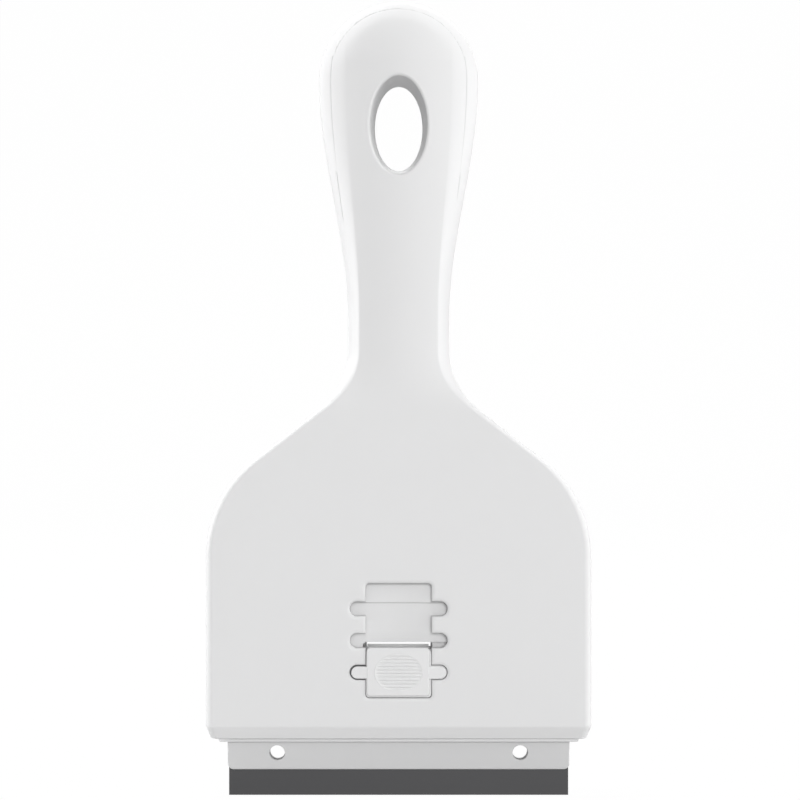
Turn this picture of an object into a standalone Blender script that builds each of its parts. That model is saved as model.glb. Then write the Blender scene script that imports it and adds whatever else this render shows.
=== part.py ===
"""A retractable-blade scraper for aquarium glass.

Upright as it is held against the glass: blade down, handle up, latch side towards -Y.
The origin is at the middle of the blade's edge, below the middle of the housing's thickness.
"""
from math import acos, cos, hypot, pi, radians, sin, sqrt, tan

import bmesh
import bpy

MM = 0.001

# Fits
FIT_GAP = 0.3 * MM            # between pieces that seat on or slide in each other
SLOT_CLEARANCE = 0.37 * MM    # thumb pad to the left side of its slot
SLOT_ROOM_RIGHT = 0.77 * MM   # and to the right side, where a flange closes the gap
LUG_GAP = 0.12 * MM           # latch ear to the side of the thumb pad
SLOT_ROOM_BELOW = 0.7 * MM
SLOT_ROOM_ABOVE = 0.2 * MM    # with the blade drawn in
BLADE_GAP = 0.15 * MM         # blade to each jaw

# Housing, in outline
HALF_THICKNESS = 8.8 * MM
WALL = 2.2 * MM
FOOT_Z = 17.45 * MM
FOOT_BEVEL_HEIGHT = 3.75 * MM
FOOT_BEVEL_INSET = 1.3 * MM
SIDE_ROOM = 2.14 * MM         # between a rail and the side wall
HEAD_EDGE_RADIUS = 2.3 * MM
HEAD_CORNER_RADIUS = 35.2 * MM
SHOULDER_ANGLE = radians(52.3)
NECK_FLARE_RADIUS = 22.4 * MM
NECK_FLARE_Z = 131.4 * MM
NECK_HALF_WIDTH = 15.0 * MM
NECK_LENGTH = 9.6 * MM        # straight, above the flare
BULB_Z = 211.2 * MM
BULB_RADIUS = 23.6 * MM
DOME_RISE = 4.9 * MM          # from the widest place to where the faces begin to round off
CROWN_RADIUS = 50.0 * MM      # crown across the front and back of the handle
NECK_EDGE = 3.65 * MM         # width of the handle's rounded edge at its narrowest
BULB_EDGE = 8.15 * MM         # and at its widest
SEAM_Y = -4.0 * MM
SEAM_GAP = 0.2 * MM

# Hang hole
HANG_HOLE_Z = 197.2 * MM
HANG_HOLE_FACE = (8.34 * MM, 14.28 * MM)      # half width and half height at the faces
HANG_HOLE_WAIST = (7.05 * MM, 12.49 * MM)     # and half way through
HANG_HOLE_WALL = 2.2 * MM
HANG_HOLE_EDGE = 0.95 * MM

# Latch slot in the front shell, three pairs of ears
SLOT_HALF_WIDTH = 9.67 * MM
SLOT_CORNER = 1.1 * MM
SLOT_EDGE = 1.3 * MM
NOTCH_PITCH = 9.3 * MM
NOTCH_COUNT = 3
NOTCH_RADIUS = 2.19 * MM
NOTCH_REACH = 14.28 * MM      # from the middle to the tip of an ear
FIRST_NOTCH_Z = 37.1 * MM

# Blade and jaws
BLADE_WIDTH = 100.0 * MM
BLADE_HEIGHT = 23.0 * MM
BLADE_THICKNESS = 0.6 * MM
BLADE_Y = -2.4 * MM
BLADE_BEVEL_HEIGHT = 2.7 * MM
BLADE_LAND = 0.15 * MM        # thickness left at the edge
BLADE_REACH = 8.2 * MM        # blade standing out below the jaws
JAW_OVERHANG = 0.35 * MM      # of a jaw past the blade's end
JAW_FRONT_THICKNESS = 2.15 * MM
JAW_TIP_THICKNESS = 0.75 * MM
JAW_CORNER = 1.1 * MM
CLAMP_THICKNESS = 1.15 * MM
CLAMP_HEIGHT = 20.5 * MM
EYE_RADIUS = 2.25 * MM
EYE_INSET = 14.2 * MM         # from the blade's end
EYE_HEIGHT = 4.6 * MM         # above the jaws' tip
PEG_RADIUS = 1.5 * MM
PEG_X = 18.0 * MM
PEG_DROP = 2.2 * MM           # below the blade's top
PEG_LENGTH = 2.2 * MM

# Mouth and its collar
COLLAR_DROP = 1.05 * MM
COLLAR_WALL = 1.3 * MM
COLLAR_SIDE = 2.4 * MM
MOUTH_SIDE_GAP = 0.45 * MM

# Carrier
PANEL_THICKNESS = 1.8 * MM
PANEL_MARGIN = 2.4 * MM       # panel above the top of the slot
PANEL_STEP = 0.25 * MM
PANEL_STEP_Z = 57.3 * MM
CARRIER_DEPTH = 5.8 * MM
CARRIER_RIB = 1.8 * MM
JAW_BLOCK_HEIGHT = 9.0 * MM

# Latch
PAD_PROUD = 0.3 * MM
PAD_THICKNESS = 2.8 * MM
PAD_ABOVE_EARS = 7.25 * MM    # from the ears' middle
PAD_BELOW_EARS = 6.8 * MM
PAD_CORNER = 0.9 * MM
PAD_EDGE = 0.35 * MM
PAD_WALL = 1.3 * MM
PAD_DEPTH = 8.7 * MM          # front face to the back of its top wall
FLANGE_OUT = 0.45 * MM        # of the pad's right flange past its front
FLANGE_THICKNESS = 0.9 * MM
FLANGE_DROP = 0.65 * MM       # below the pad's top
GRIP_HALF_WIDTH = 7.15 * MM
GRIP_HALF_HEIGHT = 5.6 * MM
GRIP_RIDGES = 11
GRIP_RIDGE_WIDTH = 0.5 * MM
GRIP_RIDGE_HEIGHT = 0.15 * MM
TONGUE_THICKNESS = 1.2 * MM
TONGUE_HALF_WIDTH = 7.6 * MM
TONGUE_ROOT_Z = 22.6 * MM
EAR_RADIUS = 1.8 * MM
EAR_REACH = 13.87 * MM
EAR_RECESS = 0.1 * MM         # behind the pad's front
LATCH_TRAVEL = radians(11.0)
WINDOW_CLEARANCE = 0.45 * MM  # round the moving latch, in the carrier's panel
GAP_ABOVE_PAD = 1.4 * MM

# Rear shell
WINDOW_HALF_WIDTH = 9.6 * MM
WINDOW_CORNER = 2.0 * MM
RAIL_THICKNESS = 1.5 * MM
RAIL_LEDGE = 3.0 * MM
STOP_HALF_WIDTH = 18.0 * MM

# Seam pegs
SEAM_PEG_RADIUS = 1.7 * MM
SEAM_PEG_CLEARANCE = 0.3 * MM
SEAM_BOSS_WALL = 1.6 * MM
SEAM_PEG_DEPTH = 3.5 * MM     # of a peg past the seam
SEAM_BORE_ROOM = 1.5 * MM     # past the peg's end
HEAD_PEG_X = 30.0 * MM
HEAD_PEG_Z = 97.0 * MM
HANDLE_PEG_Z = (140.0 * MM, 172.0 * MM)

# Facets
SECTION_CROWN_STEPS = 4
SECTION_CORNER_STEPS = 5
ARC_STEPS = 8
DOME_STEPS = 8
FINE_STEPS = 60               # along a section that others are read from
FILLET_STEPS = 3
TAPER_STEPS = 9
HOLE_SEGMENTS = 44
ROUND_SEGMENTS = 24
BEZIER_CIRCLE = 0.5523        # handle length of a cubic that follows a quarter circle
BEZIER_TIGHT = 0.3            # and of one that turns sooner

# Places that follow from the sizes above
JAW_HALF_WIDTH = BLADE_WIDTH / 2 + JAW_OVERHANG
HEAD_HALF_WIDTH = JAW_HALF_WIDTH + FIT_GAP + RAIL_THICKNESS + SIDE_ROOM + WALL
EYE_X = BLADE_WIDTH / 2 - EYE_INSET
EYE_Z = BLADE_REACH + EYE_HEIGHT
SEAM_PEG_PLACES = [(-HEAD_PEG_X, HEAD_PEG_Z), (HEAD_PEG_X, HEAD_PEG_Z)] + [(0.0, z) for z in HANDLE_PEG_Z]
HEAD_FACE_Y = -HALF_THICKNESS
PANEL_FRONT_Y = HEAD_FACE_Y + WALL + FIT_GAP
PANEL_BACK_Y = PANEL_FRONT_Y + PANEL_THICKNESS
CARRIER_BACK_Y = PANEL_FRONT_Y + CARRIER_DEPTH
PAD_TOP_Z = FIRST_NOTCH_Z + PAD_ABOVE_EARS
PAD_BOTTOM_Z = FIRST_NOTCH_Z - PAD_BELOW_EARS
SLOT_BOTTOM = PAD_BOTTOM_Z - SLOT_ROOM_BELOW
SLOT_TOP = PAD_TOP_Z + (NOTCH_COUNT - 1) * NOTCH_PITCH + SLOT_ROOM_ABOVE
TRAVEL = (NOTCH_COUNT - 1) * NOTCH_PITCH
BLADE_FRONT_Y = BLADE_Y - BLADE_THICKNESS / 2
BLADE_BACK_Y = BLADE_Y + BLADE_THICKNESS / 2
JAW_BACK_Y = BLADE_FRONT_Y - BLADE_GAP
JAW_FRONT_Y = JAW_BACK_Y - JAW_FRONT_THICKNESS
JAW_TIP_Y = JAW_BACK_Y - JAW_TIP_THICKNESS
CLAMP_FRONT_Y = BLADE_BACK_Y + BLADE_GAP
CLAMP_BACK_Y = CLAMP_FRONT_Y + CLAMP_THICKNESS
FLOOR_Z = FOOT_Z + WALL
BODY_BOTTOM_Z = FLOOR_Z + FIT_GAP
COLLAR_Z = FOOT_Z - COLLAR_DROP
PANEL_TOP_Z = SLOT_TOP + PANEL_MARGIN
MOUTH_HALF_WIDTH = JAW_HALF_WIDTH + MOUTH_SIDE_GAP
MOUTH_FRONT_Y = JAW_FRONT_Y - FIT_GAP
MOUTH_BACK_Y = CLAMP_BACK_Y + FIT_GAP
PAD_LEFT_X = SLOT_CLEARANCE - SLOT_HALF_WIDTH
PAD_RIGHT_X = SLOT_HALF_WIDTH - SLOT_ROOM_RIGHT
FLANGE_X = PAD_RIGHT_X + FLANGE_OUT
PAD_FRONT_Y = HEAD_FACE_Y - PAD_PROUD
PAD_BACK_Y = PAD_FRONT_Y + PAD_THICKNESS
TONGUE_FRONT_Y = PAD_BACK_Y + FIT_GAP
TONGUE_BACK_Y = TONGUE_FRONT_Y + TONGUE_THICKNESS
HINGE_Y = (TONGUE_FRONT_Y + TONGUE_BACK_Y) / 2
TAPER_START_Z = NECK_FLARE_Z + NECK_LENGTH
DOME_Z = BULB_Z + DOME_RISE
TOP_Z = BULB_Z + BULB_RADIUS
REACH = 0.02                  # how far a cutter runs past the solid that it cuts


def smooth(t):
    """0 to 1 with level ends."""
    t = min(max(t, 0.0), 1.0)
    return t * t * (3.0 - 2.0 * t)


def mix(a, b, t):
    return a + (b - a) * t


# Housing outline

def shoulder_straight():
    """Length of the straight between the neck's flare and the head's corner."""
    arcs = (NECK_FLARE_RADIUS + HEAD_CORNER_RADIUS) * (1.0 - cos(SHOULDER_ANGLE))
    return (HEAD_HALF_WIDTH - NECK_HALF_WIDTH - arcs) / sin(SHOULDER_ANGLE)


FLARE_END_Z = NECK_FLARE_Z - NECK_FLARE_RADIUS * sin(SHOULDER_ANGLE)
CORNER_TOP_Z = FLARE_END_Z - shoulder_straight() * cos(SHOULDER_ANGLE)
CORNER_BOTTOM_Z = CORNER_TOP_Z - HEAD_CORNER_RADIUS * sin(SHOULDER_ANGLE)


def half_width(z, inset):
    """Half width of the housing at height z, or of the same shape inset by a wall."""
    if z >= BULB_Z:
        radius = BULB_RADIUS - inset
        return sqrt(max(radius ** 2 - (z - BULB_Z) ** 2, 0.0))
    if z >= NECK_FLARE_Z:
        rise = smooth((z - TAPER_START_Z) / (BULB_Z - TAPER_START_Z))
        return mix(NECK_HALF_WIDTH, BULB_RADIUS, rise) - inset
    flare = NECK_FLARE_RADIUS + inset
    corner = HEAD_CORNER_RADIUS - inset
    flare_centre_x = NECK_HALF_WIDTH + NECK_FLARE_RADIUS
    corner_centre_x = HEAD_HALF_WIDTH - HEAD_CORNER_RADIUS
    flare_end = NECK_FLARE_Z - flare * sin(SHOULDER_ANGLE)
    corner_top = CORNER_BOTTOM_Z + corner * sin(SHOULDER_ANGLE)
    if z >= flare_end:
        return flare_centre_x - sqrt(flare ** 2 - (NECK_FLARE_Z - z) ** 2)
    if z >= corner_top:
        return flare_centre_x - flare * cos(SHOULDER_ANGLE) + (flare_end - z) * tan(SHOULDER_ANGLE)
    if z >= CORNER_BOTTOM_Z:
        return corner_centre_x + sqrt(corner ** 2 - (z - CORNER_BOTTOM_Z) ** 2)
    return HEAD_HALF_WIDTH - inset


def quarter_section(z, inset, squeeze, crown_steps, corner_steps):
    """A quarter of the section at height z, from the middle of the face to the side, as (x, y).

    A crowned face, flat on the head, and a rounded edge that meets the side.
    """
    a = half_width(z, inset) - squeeze
    b = HALF_THICKNESS - inset - squeeze
    grip = smooth((z - FLARE_END_Z) / (NECK_FLARE_Z - FLARE_END_Z))
    wide = (a + inset - NECK_HALF_WIDTH) / (BULB_RADIUS - NECK_HALF_WIDTH)
    head_edge = max(HEAD_EDGE_RADIUS - inset, 0.3 * MM)
    edge_x = mix(head_edge, mix(NECK_EDGE, BULB_EDGE, wide) - 0.7 * inset, grip)
    side = mix(b - head_edge, 0.0, grip)
    pull = mix(BEZIER_CIRCLE, BEZIER_TIGHT, grip)
    crown = grip / CROWN_RADIUS
    corner_x = a - edge_x
    corner_y = b - crown * corner_x ** 2 / 2.0
    slope = crown * corner_x
    quarter = []
    for i in range(crown_steps):
        x = corner_x * i / crown_steps
        quarter.append((x, b - crown * x * x / 2.0))
    start = (corner_x, corner_y)
    start_handle = (corner_x + pull * edge_x, corner_y - pull * edge_x * slope)
    end_handle = (a, side + pull * (corner_y - side))
    end = (a, side)
    for i in range(corner_steps + 1):
        quarter.append(bezier(start, start_handle, end_handle, end, i / corner_steps))
    return quarter


def depth_at(quarter, x):
    """The depth of a quarter section at x, between its points."""
    for (x0, y0), (x1, y1) in zip(quarter, quarter[1:]):
        if x <= x1:
            return mix(y0, y1, (x - x0) / (x1 - x0)) if x1 > x0 else y1
    return quarter[-1][1]


def section(z, inset=0.0, squeeze=0.0):
    """The ring of points round the housing at height z, as (x, y).

    Over the dome the last section is swung round the dome's middle: at a share of the way out
    to the outline, the depth is that section's at the same share of its width.
    squeeze draws the ring in all round, for the foot's bevel.
    """
    level = min(z, DOME_Z)
    quarter = quarter_section(level, inset, squeeze, SECTION_CROWN_STEPS, SECTION_CORNER_STEPS)
    if z > DOME_Z:
        fine = quarter_section(level, inset, squeeze, FINE_STEPS, FINE_STEPS)
        width = quarter[-1][0]
        lift = min((z - DOME_Z) / (TOP_Z - inset - DOME_Z), 1.0)
        shares = [mix(lift, 1.0, x / width) for x, y in quarter]
        reaches = [half_width(DOME_Z + (z - DOME_Z) / share, inset) for share in shares]
        quarter = [(share * reach, depth_at(fine, share * width)) for share, reach in zip(shares, reaches)]
    return mirrored_ring(quarter)


def bezier(p0, p1, p2, p3, t):
    """A point of a cubic Bezier curve in the plane."""
    u = 1.0 - t
    weights = (u ** 3, 3 * u * u * t, 3 * u * t * t, t ** 3)
    return tuple(sum(w * p[k] for w, p in zip(weights, (p0, p1, p2, p3))) for k in (0, 1))


def mirrored_ring(quarter):
    """A full ring, counter-clockwise seen from +Z, from its quarter at +x, +y read from the +Y side."""
    right = quarter[::-1]
    left = [(-x, y) for x, y in quarter[1:]]
    upper = right + left
    return upper + [(x, -y) for x, y in upper[::-1]]


def housing_heights():
    """Heights of the rings from the foot to the dome: close together on the arcs only."""
    heights = [FOOT_Z + FOOT_BEVEL_HEIGHT, CORNER_BOTTOM_Z]
    for i in range(1, ARC_STEPS + 1):
        heights.append(CORNER_BOTTOM_Z + HEAD_CORNER_RADIUS * sin(SHOULDER_ANGLE * i / ARC_STEPS))
    for i in range(ARC_STEPS - 1, -1, -1):
        heights.append(NECK_FLARE_Z - NECK_FLARE_RADIUS * sin(SHOULDER_ANGLE * i / (ARC_STEPS - 1)))
    heights.append(TAPER_START_Z)
    for i in range(1, TAPER_STEPS + 1):
        heights.append(mix(TAPER_START_Z, BULB_Z, i / TAPER_STEPS))
    return heights


def dome_heights(inset):
    """Heights over the round end, closing towards its top."""
    height = TOP_Z - inset - DOME_Z
    last = DOME_STEPS - 0.35
    shares = [sin(pi / 2 * min(i, last) / DOME_STEPS) for i in range(DOME_STEPS + 1)]
    return [DOME_Z + height * share for share in shares]


def housing_rings():
    rings = [[(x, y, FOOT_Z) for x, y in section(FOOT_Z, squeeze=FOOT_BEVEL_INSET)]]
    for z in housing_heights() + dome_heights(0.0):
        rings.append([(x, y, z) for x, y in section(z)])
    return rings


def cavity_rings():
    rings = []
    for z in [FLOOR_Z] + housing_heights()[1:] + dome_heights(WALL):
        rings.append([(x, y, z) for x, y in section(z, WALL)])
    return rings


# Mesh helpers

def new_object(name, bm):
    """An object from a closed mesh, with its doubles merged and its faces pointing out."""
    bmesh.ops.remove_doubles(bm, verts=bm.verts, dist=1e-7)
    bmesh.ops.recalc_face_normals(bm, faces=bm.faces)
    mesh = bpy.data.meshes.new(name)
    bm.to_mesh(mesh)
    bm.free()
    obj = bpy.data.objects.new(name, mesh)
    bpy.context.scene.collection.objects.link(obj)
    return obj


def loft(name, rings):
    """A closed solid through rings of equal length, with flat ends."""
    bm = bmesh.new()
    loops = [[bm.verts.new(point) for point in ring] for ring in rings]
    count = len(loops[0])
    for low, high in zip(loops, loops[1:]):
        for i in range(count):
            j = (i + 1) % count
            bm.faces.new((low[i], low[j], high[j], high[i]))
    bm.faces.new(loops[0][::-1])
    bm.faces.new(loops[-1])
    return new_object(name, bm)


def prism(name, outline, y0, y1):
    """An outline of (x, z) points carried from y0 to y1."""
    return loft(name, [[(x, y, z) for x, z in outline] for y in (y0, y1)])


def box(name, x0, x1, y0, y1, z0, z1):
    return prism(name, [(x0, z0), (x1, z0), (x1, z1), (x0, z1)], y0, y1)


def tool(obj):
    """Marks a shape that only cuts or joins another."""
    obj.hide_render = True
    obj.display_type = "WIRE"
    return obj


def boolean(target, operation, shapes):
    for shape in shapes:
        modifier = target.modifiers.new(shape.name, "BOOLEAN")
        modifier.operation = operation
        modifier.solver = "EXACT"
        modifier.object = tool(shape)


def carve(target, *shapes):
    boolean(target, "DIFFERENCE", shapes)


def join(target, *shapes):
    boolean(target, "UNION", shapes)


def arc(cx, cz, radius, start, end, steps):
    """Points of an arc in the XZ plane, angles in degrees from +X towards +Z."""
    angles = [radians(mix(start, end, i / steps)) for i in range(steps + 1)]
    return [(cx + radius * cos(t), cz + radius * sin(t)) for t in angles]


def rounded_rectangle(x0, x1, z0, z1, radius, steps=4):
    corners = ((x1, z0, -90), (x1, z1, 0), (x0, z1, 90), (x0, z0, 180))
    points = []
    for x, z, start in corners:
        cx = x - radius if x == x1 else x + radius
        cz = z - radius if z == z1 else z + radius
        points += arc(cx, cz, radius, start, start + 90, steps)
    return points


def ellipse_ring(a, b, cz, y):
    angles = [2 * pi * (i + 0.5) / HOLE_SEGMENTS for i in range(HOLE_SEGMENTS)]
    return [(a * cos(t), y, cz + b * sin(t)) for t in angles]


def cylinder_y(name, x, z, radius, y0, y1, segments=ROUND_SEGMENTS):
    half_step = 180 / segments
    outline = arc(x, z, radius, half_step, 360 + half_step, segments)[:-1]
    return prism(name, outline, y0, y1)


def material(name, colour, roughness, metallic=0.0):
    mat = bpy.data.materials.new(name)
    mat.use_nodes = True
    shader = mat.node_tree.nodes["Principled BSDF"]
    shader.inputs["Base Color"].default_value = (*colour, 1.0)
    shader.inputs["Roughness"].default_value = roughness
    shader.inputs["Metallic"].default_value = metallic
    return mat


def finish(obj, mat, sharp=35):
    obj.data.materials.append(mat)
    obj.data.shade_smooth()
    obj.data.set_sharp_from_angle(angle=radians(sharp))


# Shapes cut from or added to the shells

def slot_outline(grow):
    """The notched latch slot, grown all round by grow, counter-clockwise seen from the front."""
    w = SLOT_HALF_WIDTH + grow
    r = NOTCH_RADIUS + grow
    corner = SLOT_CORNER + grow
    tip_x = NOTCH_REACH - NOTCH_RADIUS
    low, high = SLOT_BOTTOM - grow, SLOT_TOP + grow
    right = arc(w - corner, low + corner, corner, -90, 0, 3)
    for i in range(NOTCH_COUNT):
        z = FIRST_NOTCH_Z + i * NOTCH_PITCH
        right.append((w, z - r))
        right += arc(tip_x, z, r, -90, 90, 8)
        right.append((w, z + r))
    right += arc(w - corner, high - corner, corner, 0, 90, 3)
    return right + [(-x, z) for x, z in right[::-1]]


def fillet(radius):
    """The rounded edge of an opening, from the face inwards: depth below the face and growth."""
    angles = [pi / 2 * i / FILLET_STEPS for i in range(FILLET_STEPS + 1)]
    return [(radius * (1.0 - cos(t)), radius * (1.0 - sin(t))) for t in angles]


def slot_cutter():
    """The slot through the front wall, its outer edge rounded."""
    stations = [(-REACH, SLOT_EDGE)] + fillet(SLOT_EDGE) + [(WALL + HALF_THICKNESS, 0.0)]
    rings = []
    for depth, grow in stations:
        rings.append([(x, HEAD_FACE_Y + depth, z) for x, z in slot_outline(grow)])
    return loft("slot_cutter", rings)


def crown_y(x):
    """Half thickness of the handle at x, on its crowned face."""
    return HALF_THICKNESS - x * x / (2.0 * CROWN_RADIUS)


def hang_hole_cutter(name):
    """The oval hole, drawn in to its waist half way through, its edges rounded along the crown."""
    a, b = HANG_HOLE_FACE
    front = []
    for depth, grow in [(-REACH, HANG_HOLE_EDGE)] + fillet(HANG_HOLE_EDGE):
        ring = ellipse_ring(a + grow, b + grow, HANG_HOLE_Z, 0.0)
        front.append([(x, depth - crown_y(x), z) for x, y, z in ring])
    waist = ellipse_ring(*HANG_HOLE_WAIST, HANG_HOLE_Z, 0.0)
    back = [[(x, -y, z) for x, y, z in ring] for ring in front[::-1]]
    return loft(name, front + [waist] + back)


def hang_hole_sleeve(name):
    """The wall round the hole, from inside one face to inside the other."""
    a, b = (r + HANG_HOLE_WALL for r in HANG_HOLE_WAIST)
    end = HALF_THICKNESS - 0.8 * WALL
    return loft(name, [ellipse_ring(a, b, HANG_HOLE_Z, y) for y in (-end, end)])


def collar(name):
    """The lip round the mouth, standing out below the foot."""
    front, back = MOUTH_FRONT_Y - COLLAR_WALL, MOUTH_BACK_Y + COLLAR_WALL
    rings = []
    for z, inset in ((COLLAR_Z, 0.5 * COLLAR_WALL), (FOOT_Z + WALL / 2, 0.0)):
        x = MOUTH_HALF_WIDTH + COLLAR_SIDE - inset
        rings.append([(x, front, z), (x, back, z), (-x, back, z), (-x, front, z)])
    return loft(name, rings)


def mouth_cutter(name):
    return box(
        name, -MOUTH_HALF_WIDTH, MOUTH_HALF_WIDTH,
        MOUTH_FRONT_Y, MOUTH_BACK_Y, COLLAR_Z - REACH, FLOOR_Z + WALL,
    )


def half_space(name, y0, y1):
    return box(name, -0.1, 0.1, y0, y1, -0.05, 0.3)


def shell(name):
    """The whole housing, hollowed, with the sleeve of its hang hole and the collar of its mouth."""
    obj = loft(name, housing_rings())
    join(obj, collar(name + "_collar"))
    carve(obj, loft(name + "_cavity", cavity_rings()))
    join(obj, hang_hole_sleeve(name + "_sleeve"))
    return obj


def build_front_shell(mat):
    obj = shell("front_shell")
    for i, (x, z) in enumerate(SEAM_PEG_PLACES):
        wall_y = HEAD_FACE_Y + WALL / 2
        shoulder = SEAM_PEG_RADIUS + SEAM_BOSS_WALL / 2
        join(
            obj,
            cylinder_y(f"front_boss_{i}", x, z, shoulder, wall_y, SEAM_Y - SEAM_GAP),
        )
    carve(obj, half_space("front_half", SEAM_Y - SEAM_GAP / 2, 0.05))
    for i, (x, z) in enumerate(SEAM_PEG_PLACES):
        root_y = HEAD_FACE_Y + WALL
        join(obj, cylinder_y(f"front_peg_{i}", x, z, SEAM_PEG_RADIUS, root_y, SEAM_Y + SEAM_PEG_DEPTH))
    carve(obj, slot_cutter(), hang_hole_cutter("front_hole"), mouth_cutter("front_mouth"))
    finish(obj, mat)
    return obj


def rear_rail(side):
    """One guide rail: a wall beside the carrier's edge and a ledge behind it."""
    inner = JAW_HALF_WIDTH + FIT_GAP
    top = PANEL_TOP_Z + TRAVEL
    ledge_y = CARRIER_BACK_Y + FIT_GAP
    outline = (
        (inner, SEAM_Y + SEAM_GAP),
        (inner + RAIL_THICKNESS, SEAM_Y + SEAM_GAP),
        (inner + RAIL_THICKNESS, HALF_THICKNESS - WALL / 2),
        (inner, HALF_THICKNESS - WALL / 2),
        (inner, ledge_y + RAIL_THICKNESS),
        (inner - RAIL_LEDGE, ledge_y + RAIL_THICKNESS),
        (inner - RAIL_LEDGE, ledge_y),
        (inner, ledge_y),
    )
    rings = [[(side * x, y, z) for x, y in outline] for z in (FLOOR_Z - WALL / 2, top)]
    return loft(f"rail_{side}", rings)


def build_rear_shell(mat):
    obj = shell("rear_shell")
    join(obj, rear_rail(-1), rear_rail(1))
    bore = SEAM_PEG_RADIUS + SEAM_PEG_CLEARANCE
    for i, (x, z) in enumerate(SEAM_PEG_PLACES):
        wall_y = HALF_THICKNESS - WALL / 2
        join(obj, cylinder_y(f"rear_boss_{i}", x, z, bore + SEAM_BOSS_WALL, SEAM_Y, wall_y))
    stop_z = PANEL_TOP_Z + TRAVEL + FIT_GAP
    join(
        obj,
        box(
            "stop", -STOP_HALF_WIDTH, STOP_HALF_WIDTH,
            PANEL_FRONT_Y, HALF_THICKNESS - WALL / 2, stop_z, stop_z + CARRIER_RIB,
        ),
    )
    carve(obj, half_space("rear_half", -0.05, SEAM_Y + SEAM_GAP / 2))
    for i, (x, z) in enumerate(SEAM_PEG_PLACES):
        bore_end = SEAM_Y + SEAM_PEG_DEPTH + SEAM_BORE_ROOM
        carve(obj, cylinder_y(f"rear_bore_{i}", x, z, bore, SEAM_Y - REACH, bore_end))
    window = rounded_rectangle(-WINDOW_HALF_WIDTH, WINDOW_HALF_WIDTH, SLOT_BOTTOM, SLOT_TOP, WINDOW_CORNER)
    carve(
        obj,
        hang_hole_cutter("rear_hole"),
        mouth_cutter("rear_mouth"),
        prism("window_cutter", window, HALF_THICKNESS - 2 * WALL, HALF_THICKNESS + REACH),
    )
    finish(obj, mat)
    return obj


# Carrier, clamp and blade

def jaw_outline(top):
    """A jaw in front view, its two lower corners rounded."""
    w, z = JAW_HALF_WIDTH, BLADE_REACH
    left = arc(-w + JAW_CORNER, z + JAW_CORNER, JAW_CORNER, 180, 270, 4)
    right = arc(w - JAW_CORNER, z + JAW_CORNER, JAW_CORNER, -90, 0, 4)
    return left + right + [(w, top), (-w, top)]


def eye_cutter(name, side):
    return cylinder_y(name, side * EYE_X, EYE_Z, EYE_RADIUS, -REACH, REACH)


def peg_place(side):
    return side * PEG_X, BLADE_HEIGHT - PEG_DROP


def build_carrier(mat):
    """Panel, ribs and front jaw, one moulding."""
    w = JAW_HALF_WIDTH
    obj = box("blade_carrier", -w, w, PANEL_FRONT_Y, PANEL_BACK_Y, BODY_BOTTOM_Z, PANEL_TOP_Z)
    block_top = BODY_BOTTOM_Z + JAW_BLOCK_HEIGHT
    overlap = PANEL_THICKNESS / 2
    clear_z = block_top + FIT_GAP
    rib = CARRIER_RIB
    frame_x = EAR_REACH + WINDOW_CLEARANCE + rib
    rib_y = (PANEL_BACK_Y - overlap, CARRIER_BACK_Y)
    rib_z = (clear_z, PANEL_TOP_Z - rib / 2)
    join(
        obj,
        prism("front_jaw", jaw_outline(BODY_BOTTOM_Z + rib), JAW_FRONT_Y, JAW_BACK_Y),
        box("jaw_block", -w, w, PANEL_BACK_Y - overlap, JAW_BACK_Y, BODY_BOTTOM_Z, block_top),
        box("top_rib", -w, w, *rib_y, PANEL_TOP_Z - rib, PANEL_TOP_Z),
        box("left_rib", -w, rib - w, *rib_y, *rib_z),
        box("right_rib", w - rib, w, *rib_y, *rib_z),
        box("left_frame", -frame_x, rib - frame_x, *rib_y, *rib_z),
        box("right_frame", frame_x - rib, frame_x, *rib_y, *rib_z),
    )
    carve(obj, jaw_wedge(), panel_step(), latch_window(), tongue_pocket())
    for side in (-1, 1):
        x, z = peg_place(side)
        bore = PEG_RADIUS + FIT_GAP
        depth = PEG_LENGTH + FIT_GAP
        carve(obj, eye_cutter(f"carrier_eye_{side}", side))
        carve(obj, cylinder_y(f"socket_{side}", x, z, bore, CLAMP_FRONT_Y - depth, REACH))
    finish(obj, mat)
    return obj


def jaw_wedge():
    """What is planed off the front jaw below the mouth, so that it slopes to the blade."""
    x = JAW_HALF_WIDTH + REACH
    drop = (JAW_TIP_Y - JAW_FRONT_Y) / (COLLAR_Z - BLADE_REACH)
    low_z = BLADE_REACH - REACH
    outline = (
        (JAW_FRONT_Y, COLLAR_Z),
        (JAW_FRONT_Y - REACH, COLLAR_Z),
        (JAW_FRONT_Y - REACH, low_z),
        (JAW_FRONT_Y + drop * (COLLAR_Z - low_z), low_z),
    )
    return loft("jaw_wedge", [[(side * x, y, z) for y, z in outline] for side in (-1, 1)])


def panel_step():
    """The panel's face is let in a little below this height."""
    x = JAW_HALF_WIDTH + REACH
    step_y = PANEL_FRONT_Y + PANEL_STEP
    return box("panel_step", -x, x, PANEL_FRONT_Y - REACH, step_y, BODY_BOTTOM_Z - REACH, PANEL_STEP_Z)


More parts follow.
